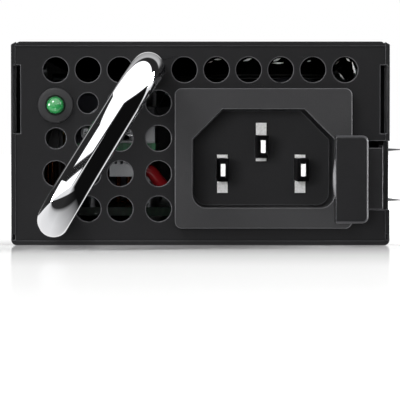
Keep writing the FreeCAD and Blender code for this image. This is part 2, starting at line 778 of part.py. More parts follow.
def inlet_blade(name):
    """One contact blade: tapered tip, blade, shoulder on the socket's floor, tab behind."""
    side, rise, up = BLADES[name]
    x, z = f"({INLET_X} + {side})", f"({INLET_Z} + {rise})"
    tip = doc.addObject("Part::Wedge", name + "_tip")
    bind(tip, "Ymin", "0")
    bind(tip, "Ymax", "blade_tip")
    for axis, end, whole in (("X", "blade_tip_width", "blade_width"), ("Z", "blade_tip_tall", "blade_tall")):
        for limit, sign in (("min", "-"), ("max", "")):
            bind(tip, f"{axis}{limit}", f"{sign}{end} / 2")
            bind(tip, f"{axis}2{limit}", f"{sign}{whole} / 2")
    move(tip, x, f"{FLANGE} + blade_setback", z)
    blade = brick(name + "_blade", (f"{x} - blade_width / 2", f"{x} + blade_width / 2"),
                  (f"{FLANGE} + blade_setback + blade_tip", f"{HOUSING_BACK} + tab_length"),
                  (f"{z} - blade_tall / 2", f"{z} + blade_tall / 2"))
    long = f"{z} - {up} * (blade_tall / 2 + blade_root_long)"
    short = f"{z} + {up} * (blade_tall / 2 + blade_root_short)"
    low, high = (long, short) if up > 0 else (short, long)
    root = brick(name + "_root", (f"{x} - blade_width / 2", f"{x} + blade_width / 2"),
                 (f"{SOCKET_FLOOR} - blade_root_step", SOCKET_FLOOR), (low, high))
    return joined(name + "_whole", [tip, blade, root])


def inlet_blades():
    sub_part(group("live_blades", [inlet_blade("line"), inlet_blade("neutral")]), "inlet_line_pins")
    sub_part(inlet_blade("earth"), "inlet_earth_pin")


# ---------------------------------------------------------------- status light
def status_light():
    x, z = LIGHT_X, LIGHT_Z
    dome = doc.addObject("Part::Sphere", "lens_dome")
    bind(dome, "Radius", "light_radius")
    move(dome, x, f"{PLATE} - light_stand", z)
    stem = rod("lens_stem", "y", x, f"{PLATE} - light_stand", z, "light_radius",
               "light_stand + barrel_length")
    sub_part(joined("lens_whole", [dome, stem]), "led_lens")
    collar = rod("collar", "y", x, f"{PLATE} - collar_proud", z, "collar_radius", "collar_proud")
    barrel = rod("collar_barrel", "y", x, f"{PLATE} - collar_proud", z, "barrel_radius",
                 "collar_proud + barrel_length")
    bore = rod("collar_bore", "y", x, f"{PLATE} - 2 * collar_proud", z, "light_radius + seat_gap",
               "3 * collar_proud + barrel_length")
    sub_part(cut("collar_bored", joined("collar_whole", [collar, barrel]), [bore]), "led_holder")
    leads = []
    for index, side in enumerate(("-", "+")):
        middle = f"({LIGHT_X} {side} lead_spread)"
        back = f"({PLATE} + barrel_length + seat_gap)"
        run = brick(f"lead_run_{index}", (f"{middle} - lead_side / 2", f"{middle} + lead_side / 2"),
                    (back, f"{BOARD_FRONT} + lead_back"), (f"{z} - lead_side / 2", f"{z} + lead_side / 2"))
        drop = brick(f"lead_drop_{index}", (f"{middle} - lead_side / 2", f"{middle} + lead_side / 2"),
                     (f"{BOARD_FRONT} + lead_back - lead_side", f"{BOARD_FRONT} + lead_back"),
                     (BOARD_TOP, f"{z} + lead_side / 2"))
        leads.append(joined(f"lead_{index}", [run, drop]))
    sub_part(group("lead_pair", leads), "led_leads")


# ---------------------------------------------------------------- latch: lever, catch, pivot and spring
def ear_levels():
    """Low and high faces of the catch's two ears, just outside the arm's inner part."""
    low, high = "(arm_inner_low - seat_gap)", "(arm_inner_high + seat_gap)"
    return [(f"({low} - steel_gauge)", low), (high, f"({high} + steel_gauge)")]


def latch_lever():
    """Thumb pad, arm and pivot knuckle, moulded in one piece."""
    body = new_body("lever")
    pad_front, pad_back = f"({PLATE} - pad_proud)", f"({PLATE} - pad_proud + pad_thick)"
    shoulder = f"({FRONT} + arm_shoulder)"
    front = sketch_on(body, "lever_pad", "XY_Plane", "pad_low")
    rectangle(front, (f"{PAD_RIGHT} - pad_width", PAD_RIGHT), (pad_front, pad_back))
    block = pad(body, front, "pad_high - pad_low", False)
    right, depth = number(PAD_RIGHT), number(pad_front)
    sides = edges_along(block, ALONG_Y, lambda at: abs(at.x - right) < TINY)
    cornered = rounded(body, block, "pad_round", sides)
    face_edges = edges_along(cornered, ALONG_Z,
                             lambda at: abs(at.x - right) < TINY and abs(at.y - depth) < TINY)
    rounded(body, cornered, "pad_edge", face_edges)
    outer = sketch_on(body, "lever_outer", "XY_Plane", "arm_low")
    rectangle(outer, (f"{BLOCK_RIGHT} - block_width", BLOCK_RIGHT),
              (f"{PLATE} - arm_reach", f"{FLANGE} - block_clear"))
    pad(body, outer, "arm_high - arm_low", False)
    neck = sketch_on(body, "lever_neck", "XY_Plane", "arm_low")
    rectangle(neck, (ARM_LEFT, ARM_RIGHT), (f"{FLANGE} - 2 * block_clear", shoulder))
    pad(body, neck, "arm_high - arm_low", False)
    inner = sketch_on(body, "lever_inner", "XY_Plane", "arm_inner_low")
    rectangle(inner, (ARM_LEFT, ARM_RIGHT), (f"{shoulder} - seat_gap", PIVOT))
    pad(body, inner, "arm_inner_high - arm_inner_low", False)
    knuckle = ring(sketch_on(body, "lever_knuckle", "XY_Plane", "bracket_low + steel_gauge + slot_clear"),
                   PIVOT_X, PIVOT, "knuckle_radius")
    pad(body, knuckle, "arm_inner_high - bracket_low - steel_gauge - slot_clear", False)
    bore = ring(sketch_on(body, "lever_bore", "XY_Plane", "bracket_low"), PIVOT_X, PIVOT,
                "pivot_radius + running_gap")
    pocket(body, bore, "case_height", True)
    rivets = sketch_on(body, "lever_rivets", "YZ_Plane", ARM_RIGHT)
    for depth_ in rivet_places():
        ring(rivets, depth_, "(arm_inner_low + arm_inner_high) / 2", "rivet_radius + seat_gap")
    pocket(body, rivets, "2 * arm_thick")
    return sub_part(body, "latch_lever")


def rivet_places():
    return [f"({CATCH} + catch_length / 2)", f"({CATCH} + catch_web - rivet_head - 2 * seat_gap)"]


def latch_catch():
    """Steel plate on the arm's inner side with two ears folded out above and below the arm."""
    body = new_body("catch")
    left = f"({ARM_LEFT} - steel_gauge)"
    low, high = ear_levels()[0][0], ear_levels()[1][1]
    web = sketch_on(body, "catch_web_sketch", "YZ_Plane", left)
    rectangle(web, (CATCH, f"{CATCH} + catch_web"), (low, high))
    pad(body, web, "steel_gauge", False)
    for index, (level, _) in enumerate(ear_levels()):
        ear = sketch_on(body, f"catch_ear_{index}", "XY_Plane", level)
        outline(ear, [(ARM_LEFT, CATCH), ("case_width / 2 + ear_proud", CATCH),
                      ("case_width / 2 + ear_proud", f"{CATCH} + ear_tip"),
                      (WALL, f"{CATCH} + catch_length"), (ARM_LEFT, f"{CATCH} + catch_length")])
        pad(body, ear, "steel_gauge", False)
    holes = sketch_on(body, "catch_holes", "YZ_Plane", left)
    for depth in rivet_places():
        ring(holes, depth, "(arm_inner_low + arm_inner_high) / 2", "rivet_radius + seat_gap")
    pocket(body, holes, "steel_gauge", True)
    return sub_part(body, "latch_catch")


def latch_rivets():
    height = "(arm_inner_low + arm_inner_high) / 2"
    rivets = []
    for index, depth in enumerate(rivet_places()):
        shank = rod(f"rivet_shank_{index}", "x", f"{ARM_LEFT} - steel_gauge", depth, height,
                    "rivet_radius", "arm_thick + steel_gauge")
        inner = rod(f"rivet_inner_{index}", "x", f"{ARM_LEFT} - steel_gauge - rivet_cap", depth, height,
                    "rivet_head", "rivet_cap")
        outer = rod(f"rivet_outer_{index}", "x", ARM_RIGHT, depth, height, "rivet_head", "rivet_cap")
        rivets.append(joined(f"rivet_{index}", [shank, inner, outer]))
    return sub_part(group("rivet_pair", rivets), "latch_rivets")


def latch_bracket():
    """Steel bracket on the side wall that holds both ends of the pivot pin."""
    right = f"({WALL} - seat_gap)"
    web_front = f"({PIVOT} + bracket_web_gap)"
    web_back = f"({web_front} + steel_gauge)"
    web = brick("bracket_web", (BRACKET_LEFT, right), (web_front, web_back), ("bracket_low", "bracket_high"))
    shelves = [brick(f"bracket_shelf_{index}", (BRACKET_LEFT, right), (f"{PIVOT} - bracket_reach", web_back),
                     (level, f"{level} + steel_gauge"))
               for index, level in enumerate(("bracket_low", "bracket_high - steel_gauge"))]
    foot = brick("bracket_foot_plate", (f"{right} - steel_gauge", right),
                 (web_front, f"{web_back} + bracket_foot"), ("bracket_low", "bracket_high"))
    bore = rod("bracket_bore", "z", PIVOT_X, PIVOT, "0", "pivot_radius + seat_gap", "case_height")
    whole = joined("bracket_whole", [web, foot] + shelves)
    return sub_part(cut("bracket_bored", whole, [bore]), "latch_bracket")


def latch_pin():
    pin = rod("pivot_shank", "z", PIVOT_X, PIVOT, "bracket_low", "pivot_radius", "bracket_high - bracket_low")
    head = rod("pivot_head", "z", PIVOT_X, PIVOT, "bracket_high", "2 * pivot_radius", "steel_gauge")
    return sub_part(joined("pivot_whole", [pin, head]), "latch_pin")


def latch_spring():
    """Torsion spring round the pin, one leg on the bracket and one beside the arm's rib."""
    wire, radius = number("spring_wire"), number("spring_radius")
    pitch, turns = number("spring_pitch"), number("spring_turns")
    base = spot(PIVOT_X, PIVOT, "arm_inner_high + slot_clear + spring_wire / 2")
    coil = Part.makeHelix(pitch, pitch * turns, radius)
    start = Vector(radius, 0, 0)
    angles = [math.pi * side / 3 for side in range(7)]
    corners = [start + Vector(math.cos(angle), 0, math.sin(angle)) * (wire / 2) for angle in angles]
    section = Part.Wire(Part.makePolygon(corners))
    turns_solid = Part.Wire(coil.Edges).makePipeShell([section], True, True)
    leg = number("spring_leg")
    to_web = number("bracket_web_gap - seat_gap")
    front = Part.makeCylinder(wire / 2, leg, Vector(radius, -wire / 2, 0), Vector(0, 1, 0))
    back = Part.makeCylinder(wire / 2, to_web, Vector(radius, 0, pitch * turns), Vector(0, -1, 0))
    shape = turns_solid.fuse([front, back])
    item = solid("spring_coil", shape)
    item.Placement = Placement(base, Rotation(ALONG_Z, 180))
    return sub_part(item, "latch_spring")


# ---------------------------------------------------------------- main board, card edge, standoffs and screws
def board_corners():
    """The four standoff places."""
    return [(f"{sign} * {SCREW_X}", depth) for sign in (-1, 1)
            for depth in (f"({BOARD_FRONT} + standoff_inset)", f"({FAN_FRONT} - standoff_inset)")]


def main_board():
    body = new_body("board")
    edge = f"({WALL} - board_side_gap)"
    sketch = sketch_on(body, "board_outline", "XY_Plane", "board_height")
    step = f"({FAN_FRONT} - board_side_gap)"
    tip = f"({REAR} + tongue_proud)"
    outline(sketch, [(f"-{edge}", BOARD_FRONT), (edge, BOARD_FRONT), (edge, step), (TONGUE_RIGHT, step),
                     (TONGUE_RIGHT, tip), (TONGUE_LEFT, tip), (TONGUE_LEFT, step), (f"-{edge}", step)])
    for across, depth in board_corners():
        ring(sketch, across, depth, "board_screw_radius + seat_gap")
    pad(body, sketch, "board_thick", False)
    return sub_part(body, "main_board")


def edge_contacts():
    """Gold-plated fingers on both sides of the tongue."""
    fingers = []
    tip = f"({REAR} + tongue_proud)"
    count = int(number(f"({TONGUE_RIGHT} - {TONGUE_LEFT}) / finger_pitch"))
    for index in range(count):
        middle = f"({TONGUE_X} + {index - (count - 1) / 2} * finger_pitch)"
        for side, (low, high) in {"top": (BOARD_TOP, f"{BOARD_TOP} + finger_thick"),
                                  "under": ("board_height - finger_thick", "board_height")}.items():
            end = f"({tip} - finger_width)"
            fingers.append(brick(f"finger_{side}_{index}",
                                 (f"{middle} - finger_width / 2", f"{middle} + finger_width / 2"),
                                 (f"{end} - finger_length", end), (low, high)))
    return sub_part(group("finger_set", fingers), "edge_contacts")


def board_fixings():
    posts, screws = [], []
    for index, (across, depth) in enumerate(board_corners()):
        post = rod(f"post_{index}", "z", across, depth, "steel_gauge", "standoff_radius",
                   "board_height - steel_gauge")
        hole = rod(f"post_hole_{index}", "z", across, depth, "2 * steel_gauge",
                   "board_screw_radius + seat_gap", "board_height")
        posts.append(cut(f"standoff_{index}", post, [hole]))
        shank = rod(f"board_shank_{index}", "z", across, depth, "2 * steel_gauge + seat_gap",
                    "board_screw_radius", f"{BOARD_TOP} - 2 * steel_gauge")
        head = rod(f"board_head_{index}", "z", across, depth, BOARD_TOP, "board_screw_head",
                   "board_screw_tall")
        screws.append(joined(f"board_screw_{index}", [shank, head]))
    sub_part(group("standoff_set", posts), "board_standoffs")
    sub_part(group("board_screw_set", screws), "board_screws")


# ---------------------------------------------------------------- rear panel, fan and guard
def fan_corners():
    half = f"{FAN_PITCH} / 2"
    return [(f"({FAN_X} {a} {half})", f"({FAN_Z} {b} {half})") for a in "+-" for b in "+-"]


REAR_VENT_ROWS = 3


def rear_panel():
    body = new_body("rear")
    edge = f"({WALL} - seat_gap)"
    sketch = face_sketch(body, "rear_outline", PANEL)
    rectangle(sketch, (f"-{edge}", edge), ("steel_gauge + seat_gap", f"{ROOF} - seat_gap"))
    ring(sketch, FAN_X, FAN_Z, FAN_BORE)
    for across, height in fan_corners():
        ring(sketch, across, height, "fan_screw_radius + seat_gap")
    rectangle(sketch, (f"{TONGUE_LEFT} - slot_clear", f"{TONGUE_RIGHT} + slot_clear"),
              ("board_height - slot_clear", f"{BOARD_TOP} + slot_clear"))
    columns = int(number(f"({TONGUE_RIGHT} - {TONGUE_LEFT}) / vent_pitch"))
    for row in range(REAR_VENT_ROWS):
        for column in range(columns):
            ring(sketch, f"{TONGUE_X} + {column - (columns - 1) / 2} * vent_pitch",
                 f"{VENT_FIELD_Z} - {row - 0.5} * vent_row_pitch", "vent_diameter / 2")
    pad(body, sketch, "steel_gauge")
    lip = face_sketch(body, "rear_lip", f"{PANEL} - face_return")
    rectangle(lip, (f"{FAN_X} + {FAN_SIDE} / 2 + slot_clear", edge),
              (f"{ROOF} - seat_gap - steel_gauge", f"{ROOF} - seat_gap"))
    pad(body, lip, "face_return")
    return sub_part(body, "rear_panel")


SPOKE_COUNT, SPOKE_TURN = 4, 25


def fan_frame():
    body = new_body("frame")
    half = f"{FAN_SIDE} / 2"
    outer = face_sketch(body, "frame_outer", FAN_FRONT)
    rectangle(outer, (f"{FAN_X} - {half}", f"{FAN_X} + {half}"),
              (f"{FAN_Z} - {half}", f"{FAN_Z} + {half}"))
    block = pad(body, outer, "fan_depth")
    rounded(body, block, "fan_corner", edges_along(block, ALONG_Y, lambda at: True))
    duct = face_sketch(body, "frame_duct", FAN_FRONT)
    ring(duct, FAN_X, FAN_Z, FAN_BORE)
    pocket(body, duct, "fan_depth")
    holes = face_sketch(body, "frame_holes", FAN_FRONT)
    for across, height in fan_corners():
        ring(holes, across, height, "fan_screw_radius + seat_gap")
    pocket(body, holes, "fan_depth")
    stator = rod("stator", "y", FAN_X, f"{FAN_FRONT} + seat_gap", FAN_Z, "fan_stator", "fan_stator_depth")
    tube = rod("bearing_tube", "y", FAN_X, f"{FAN_FRONT} + seat_gap", FAN_Z, "bearing_radius",
               "fan_depth / 2")
    bore = rod("bearing_bore", "y", FAN_X, f"{FAN_FRONT} - seat_gap", FAN_Z,
               "shaft_radius + running_gap", "fan_depth")
    spokes = []
    for index in range(SPOKE_COUNT):
        bar = doc.addObject("Part::Box", f"spoke_{index}")
        bind(bar, "Length", f"{FAN_BORE} + fan_corner / 2 - fan_stator / 2")
        bind(bar, "Width", "spoke_width")
        bind(bar, "Height", "spoke_width")
        inward = Placement(Vector(number("fan_stator / 2"), 0, -number("spoke_width / 2")), Rotation())
        bar.Placement = Placement(spot(FAN_X, f"{FAN_FRONT} + seat_gap", FAN_Z),
                                  Rotation(ALONG_Y, 360 / SPOKE_COUNT * index + SPOKE_TURN)).multiply(inward)
        spokes.append(bar)
    whole = joined("frame_whole", [body, stator, tube] + spokes)
    return sub_part(cut("frame_bored", whole, [bore]), "fan_frame")


def blade_section(radius, pitch):
    """A thin curved strip across a blade, at one distance from the axis."""
    chord, half_sheet, camber = number("blade_chord"), number("blade_sheet") / 2, number("blade_camber")
    lean = math.radians(number(pitch))
    along, normal = Vector(0, math.sin(lean), math.cos(lean)), Vector(0, math.cos(lean), -math.sin(lean))
    centre = Vector(radius, 0, 0)
    ends = [centre - along * (chord / 2), centre + along * (chord / 2)]
    thin = normal * number("blade_edge")
    back = Part.Arc(ends[0] + thin, centre + normal * (camber + half_sheet), ends[1] + thin)
    front = Part.Arc(ends[1] - thin, centre + normal * (camber - half_sheet), ends[0] - thin)
    caps = [Part.LineSegment(ends[1] + thin, ends[1] - thin),
            Part.LineSegment(ends[0] - thin, ends[0] + thin)]
    return Part.Wire([back.toShape(), caps[0].toShape(), front.toShape(), caps[1].toShape()])


BLADE_COUNT = 7


def fan_rotor():
    """Hub cup with twisted blades, trimmed to run inside the duct."""
    hub, depth = number("fan_hub"), number("rotor_depth")
    tip = number(f"{FAN_BORE} - rotor_gap")
    cup = Part.makeCylinder(hub, depth, Vector(0, -depth / 2, 0), ALONG_Y)
    front_edges = [edge for edge in cup.Edges if edge.Closed and edge.CenterOfMass.y > 0]
    cup = cup.makeFillet(number("hub_round"), front_edges)
    wall = number("steel_gauge")
    inside = Part.makeCylinder(hub - wall, depth - 2 * wall, Vector(0, -depth / 2, 0), ALONG_Y)
    reach = number(FAN_BORE)
    blade = Part.makeLoft([blade_section(hub - wall / 2, "blade_root_pitch"),
                           blade_section(reach, "blade_tip_pitch")], True, True)
    blades = [blade.rotated(Vector(), ALONG_Y, 360 * index / BLADE_COUNT) for index in range(BLADE_COUNT)]
    sweep = Part.makeCylinder(tip, depth, Vector(0, -depth / 2, 0), ALONG_Y)
    ring_ = sweep.cut(Part.makeCylinder(hub - wall / 2, depth, Vector(0, -depth / 2, 0), ALONG_Y))
    shaft = number("shaft_radius")
    stub = Part.makeCylinder(shaft, number("fan_depth") / 2, Vector(0, -depth / 2, 0), ALONG_Y)
    rotor = cup.cut(inside).fuse([ring_.common(blade_) for blade_ in blades] + [stub]).removeSplitter()
    item = solid("rotor_shape", rotor)
    item.Placement = Placement(spot(FAN_X, f"{FAN_BACK} - rotor_gap - rotor_depth / 2", FAN_Z), Rotation())
    return sub_part(item, "fan_rotor")


GUARD_RINGS, GUARD_ARM_TURN = 3, 45


def fan_guard():
    """Stamped guard outside the panel: rings on four arms that end under the fan's screws."""
    pieces = []
    for index in range(GUARD_RINGS):
        outer = f"({FAN_BORE} - {index} * guard_step)"
        disc = rod(f"guard_disc_{index}", "y", FAN_X, REAR, FAN_Z, outer, "guard_sheet")
        eye = rod(f"guard_eye_{index}", "y", FAN_X, f"{REAR} - guard_sheet", FAN_Z, f"{outer} - guard_width",
                  "3 * guard_sheet")
        pieces.append(cut(f"guard_ring_{index}", disc, [eye]))
    for index, (across, height) in enumerate(fan_corners()):
        pieces.append(rod(f"guard_foot_{index}", "y", across, REAR, height, "screw_head_radius",
                          "guard_sheet"))
        arm = doc.addObject("Part::Box", f"guard_arm_{index}")
        bind(arm, "Length", f"{FAN_PITCH} / sqrt(2) - {FAN_BORE} + {GUARD_RINGS} * guard_step")
        bind(arm, "Width", "guard_sheet")
        bind(arm, "Height", "guard_width")
        inner = number(f"{FAN_BORE} - {GUARD_RINGS} * guard_step")
        start = Placement(Vector(inner, 0, -number("guard_width / 2")), Rotation())
        centre = Placement(spot(FAN_X, REAR, FAN_Z), Rotation(ALONG_Y, GUARD_ARM_TURN + 90 * index))
        arm.Placement = centre.multiply(start)
        pieces.append(arm)
    holes = [rod(f"guard_hole_{index}", "y", across, f"{REAR} - guard_sheet", height,
                 "fan_screw_radius + seat_gap", "3 * guard_sheet")
             for index, (across, height) in enumerate(fan_corners())]
    return sub_part(cut("guard_drilled", joined("guard_whole", pieces), holes), "fan_guard")


def fan_screws():
    screws = []
    for index, (across, height) in enumerate(fan_corners()):
        head = rod(f"fan_head_{index}", "y", across, f"{REAR} + guard_sheet", height,
                   "screw_head_radius", "screw_head_height")
        shank = rod(f"fan_shank_{index}", "y", across, f"{FAN_BACK} - fan_depth / 2", height,
                    "fan_screw_radius", "fan_depth / 2 + steel_gauge + guard_sheet + screw_head_height / 2")
        screws.append(joined(f"fan_screw_{index}", [head, shank]))
    return sub_part(group("fan_screw_set", screws), "fan_screws")


# ---------------------------------------------------------------- mains filter behind the left vents
def filter_board():
    board = brick("filter_sheet", (FILTER_LEFT, FILTER_RIGHT),
                  (FILTER_FRONT, f"{FILTER_FRONT} + filter_length"), ("filter_height", FILTER_TOP))
    return sub_part(board, "filter_board")


def filter_posts():
    """Pillars that carry the filter board off the main board."""
    posts = []
    sides = (f"({FILTER_LEFT} + filter_post)", f"({FILTER_RIGHT} - filter_post)")
    depths = (f"({BOARD_FRONT} + 2 * filter_post)", f"({FILTER_FRONT} + filter_length - filter_post)")
    for index, (across, depth) in enumerate((across, depth) for across in sides for depth in depths):
        posts.append(rod(f"filter_post_{index}", "z", across, depth, BOARD_TOP, "filter_post",
                         f"filter_height - {BOARD_TOP}"))
    return sub_part(group("filter_post_set", posts), "filter_posts")


def capacitor_front():
    """Outline of the capacitor's end: a block whose upper left corner slopes."""
    top = f"({FILTER_TOP} + xcap_tall)"
    return [(XCAP_LEFT, FILTER_TOP), (XCAP_RIGHT, FILTER_TOP), (XCAP_RIGHT, top),
            (f"{XCAP_LEFT} + xcap_slope_run", top), (XCAP_LEFT, f"{top} - xcap_slope")]


def x_capacitor():
    body = new_body("xcap")
    sketch = face_sketch(body, "xcap_end", f"{FILTER_FRONT} + xcap_depth")
    pad(body, outline(sketch, capacitor_front()), "xcap_length")
    return sub_part(body, "x_capacitor")


def clamp_screw_places():
    room = f"({XCAP_RIGHT} - {XCAP_LEFT} - clamp_screw_inset - clamp_screw_radius)"
    return [(f"({XCAP_LEFT} + clamp_screw_inset + {index} * clamp_screw_pitch)",
             f"({FILTER_TOP} + clamp_screw_radius)")
            for index in range(int(number(f"{room} / clamp_screw_pitch")) + 1)]


def filter_clamp():
    """Grey metal clamp over the capacitor's front end, with two cross-head screws."""
    body = new_body("clamp")
    sketch = face_sketch(body, "clamp_outline", f"{FILTER_FRONT} + xcap_depth - steel_gauge")
    pad(body, outline(sketch, capacitor_front()), "steel_gauge")
    foot = face_sketch(body, "clamp_foot", f"{FILTER_FRONT} + xcap_depth - clamp_length")
    rectangle(foot, (XCAP_LEFT, XCAP_RIGHT), (FILTER_TOP, f"{FILTER_TOP} + steel_gauge / 2"))
    pad(body, foot, "clamp_length")
    sub_part(body, "filter_clamp")
    seat = f"{FILTER_FRONT} + xcap_depth - steel_gauge - clamp_screw_tall"
    heads = [rod(f"clamp_head_{index}", "y", across, seat, height, "clamp_screw_radius - seat_gap",
                 "clamp_screw_tall")
             for index, (across, height) in enumerate(clamp_screw_places())]
    feet = brick("clamp_trim",
                 (f"{XCAP_LEFT} - clamp_screw_radius", f"{XCAP_RIGHT} + clamp_screw_radius"),
                 (FILTER_FRONT, f"{FILTER_FRONT} + xcap_depth"),
                 (FILTER_TOP, f"{FILTER_TOP} + steel_gauge / 2 + seat_gap"))
    sub_part(cut("clamp_heads", group("clamp_head_pair", heads), [feet]), "clamp_screws")


PLUG_PINS = 4


def wire_plug():
    """Grey connector hung under the filter board, with its pins on top."""
    block = brick("plug_block", (PLUG_LEFT, PLUG_RIGHT),
                  (FILTER_FRONT, f"{FILTER_FRONT} + plug_length"), ("plug_low", "plug_low + plug_tall"))
    sub_part(block, "wire_connector")
    pins = []
    row = f"({FILTER_FRONT} + plug_length / 3)"
    for index in range(PLUG_PINS):
        middle = f"({PLUG_LEFT} + {index + 0.5} * plug_width / {PLUG_PINS})"
        pins.append(brick(f"plug_pin_{index}", (f"{middle} - pin_side / 2", f"{middle} + pin_side / 2"),
                          (row, f"{row} + pin_side"),
                          ("plug_low + plug_tall", "filter_height")))
    sub_part(group("plug_pin_set", pins), "connector_pins")


def boost_choke():
    """A ring core standing on the main board and the winding sleeve round it."""
    low, tall = f"({BOARD_TOP} + boost_wire)", "boost_tall"

    def tube(name, bottom, outer, bore, height):
        eye = rod(name + "_eye", "z", COIL_X, BOOST_Y, f"{bottom} - {height}", bore,
                  f"3 * ({height})")
        return cut(name, rod(name + "_disc", "z", COIL_X, BOOST_Y, bottom, outer, height), [eye])

    sub_part(tube("boost_ring", low, "boost_radius", "boost_bore", tall), "boost_choke_core")
    sleeve = tube("boost_sleeve", BOARD_TOP, "boost_radius + boost_wire", "boost_bore - boost_wire",
                  f"({tall} + 2 * boost_wire)")
    hollow = tube("boost_hollow", low, "boost_radius", "boost_bore", tall)
    sub_part(cut("boost_coil", sleeve, [hollow]), "boost_choke_winding")


def fuse():
    across = f"{COIL_X} + boost_radius + boost_wire + fuse_gap + fuse_radius"
    tube = rod("fuse_tube", "y", across, f"({BOARD_FRONT} + standoff_inset)", f"{BOARD_TOP} + fuse_radius",
               "fuse_radius", "fuse_length")
    return sub_part(tube, "fuse")


def inlet_wires():
    """Insulated leads: the live one forward to the connector, the others down to the board."""
    tab_end = f"({HOUSING_BACK} + tab_length)"
    radius, bend = number("wire_radius"), number("wire_bend")
    for name in ("neutral", "earth"):
        side, rise, _ = BLADES[name]
        x, z = f"{INLET_X} + {side}", f"{INLET_Z} + {rise}"
        landing = f"({tab_end} + wire_landing)"
        points = [spot(x, tab_end, z), spot(x, landing, z), spot(x, landing, BOARD_TOP)]
        sub_part(solid(name + "_lead", round_wire(points, radius, bend)), name + "_wire")
    side, rise, _ = BLADES["line"]
    x, z = f"({INLET_X} + {side})", f"({INLET_Z} + {rise})"
    entry, level = f"({FILTER_FRONT} + plug_length / 2)", "(plug_low + plug_tall / 2)"
    beside = f"({INLET_X} - housing_width / 2 - wire_side_gap)"
    under = "(plug_low - wire_under)"
    points = [spot(PLUG_RIGHT, entry, level),
              spot(f"{PLUG_RIGHT} + wire_exit", entry, level),
              spot(beside, f"{entry} + 2 * wire_radius", under),
              spot(beside, f"{tab_end} + wire_bend", under),
              spot(x, f"{tab_end} + wire_turn_back", z),
              spot(x, tab_end, z)]
    sub_part(solid("line_lead", round_wire(points, radius, bend / 2)), "line_wire")


# ---------------------------------------------------------------- power stage
BULK_CANS = 2


def bulk_capacitors():
    """Two cans lying along the case, each with a rolled groove near its cap."""
    cans = []
    for index in range(BULK_CANS):
        y = f"({BULK_FRONT} + {index} * ({BULK_LENGTH} + 2 * bulk_bead))"
        x, z = BULK_X, f"({BOARD_TOP} + bulk_radius)"
        can = rod(f"can_{index}", "y", x, y, z, "bulk_radius", BULK_LENGTH)
        low = f"{y} + bulk_bead_place"
        core = rod(f"bead_core_{index}", "y", x, f"{low} - bulk_bead", z, "bulk_radius - bulk_bead",
                   "4 * bulk_bead")
        around = rod(f"bead_band_{index}", "y", x, low, z, "bulk_radius + bulk_bead", "2 * bulk_bead")
        band = cut(f"bead_{index}", around, [core])
        cans.append(cut(f"bulk_{index}", can, [band]))
    return sub_part(group("bulk_pair", cans), "bulk_capacitors")


# each sink's plain side, front end and fin tips
SINKS = {"primary_heatsink": (f"({COIL_X} + {COIL_RADIUS} + device_gap + device_thick)", SINK_FRONT,
                              f"({BULK_X} - bulk_radius - fin_gap)"),
         "secondary_heatsink": (f"(-{WALL} + output_sink_side)",
                                f"({SINK_FRONT} + {SINK_LENGTH} + sink_between)",
                                f"(-{WALL} + output_sink_side + sink_base + fin_reach)")}


def comb(name):
    """A finned heat sink: a standing plate with fins to one side, drawn as one comb outline."""
    x, y, tip = SINKS[name]
    body = new_body(name)
    sketch = sketch_on(body, name + "_comb", "XY_Plane", BOARD_TOP)
    base = f"{x} + sink_base"
    corners = [(x, y), (base, y)]
    for index in range(int(number(f"{SINK_LENGTH} / fin_pitch"))):
        low = f"{y} + {index} * fin_pitch + fin_thick"
        high = f"{y} + {index} * fin_pitch + 2 * fin_thick"
        corners += [(base, low), (tip, low), (tip, high), (base, high)]
    corners += [(base, f"{y} + {SINK_LENGTH}"), (x, f"{y} + {SINK_LENGTH}")]
    pad(body, outline(sketch, corners), "sink_tall", False)
    return sub_part(body, name)


def devices(name, sink, count):
    """Moulded transistors clamped flat on the sink's plain side, with their legs in the board."""
    x, y, _ = SINKS[sink]
    bodies = []
    for index in range(count):
        middle = f"({y} + {SINK_LENGTH} / 2 + {index - (count - 1) / 2} * device_pitch)"
        block = brick(f"{name}_{index}", (f"{x} - device_thick", x),
                      (f"{middle} - device_width / 2", f"{middle} + device_width / 2"),
                      (f"{BOARD_TOP} + device_thick", f"{BOARD_TOP} + device_thick + device_tall"))
        leg = brick(f"{name}_leg_{index}", (f"{x} - device_thick / 2 - pin_side", f"{x} - device_thick / 2"),
                    (f"{middle} - device_width / 3", f"{middle} + device_width / 3"),
                    (BOARD_TOP, f"{BOARD_TOP} + device_thick"))
        bodies.append(joined(f"{name}_legged_{index}", [block, leg]))
    return sub_part(group(name + "_set", bodies), name)


def transformer():
    """Ferrite frame with a round centre leg, and the winding on that leg."""
    x, y = COIL_X, CORE_Y
    low, high = BOARD_TOP, f"({BOARD_TOP} + core_tall)"
    body = new_body("core")
    half = "core_length / 2"
    frame = sketch_on(body, "core_frame", "YZ_Plane", f"{x} - core_width / 2")
    rectangle(frame, (f"{y} - {half}", f"{y} + {half}"), (low, high))
    rectangle(frame, (f"{y} - {half} + core_leg", f"{y} + {half} - core_leg"),
              (f"{low} + core_leg", f"{high} - core_leg"))
    pad(body, frame, "core_width", False)
    leg = ring(sketch_on(body, "core_centre", "XY_Plane", f"{low} + core_leg / 2"), x, y, "core_leg")
    pad(body, leg, "core_tall - core_leg", False)
    sub_part(body, "transformer_core")
    tall = "core_tall - 2 * core_leg - 2 * coil_gap"
    base = f"{low} + core_leg + coil_gap"
    wound = rod("core_wound", "z", x, y, base, COIL_RADIUS, tall)
    eye = rod("core_eye", "z", x, y, f"{base} - coil_gap", "core_leg + coil_gap",
              f"{tall} + 2 * coil_gap")
    sub_part(cut("core_coil", wound, [eye]), "transformer_winding")


BRIDGE_LEGS = 4


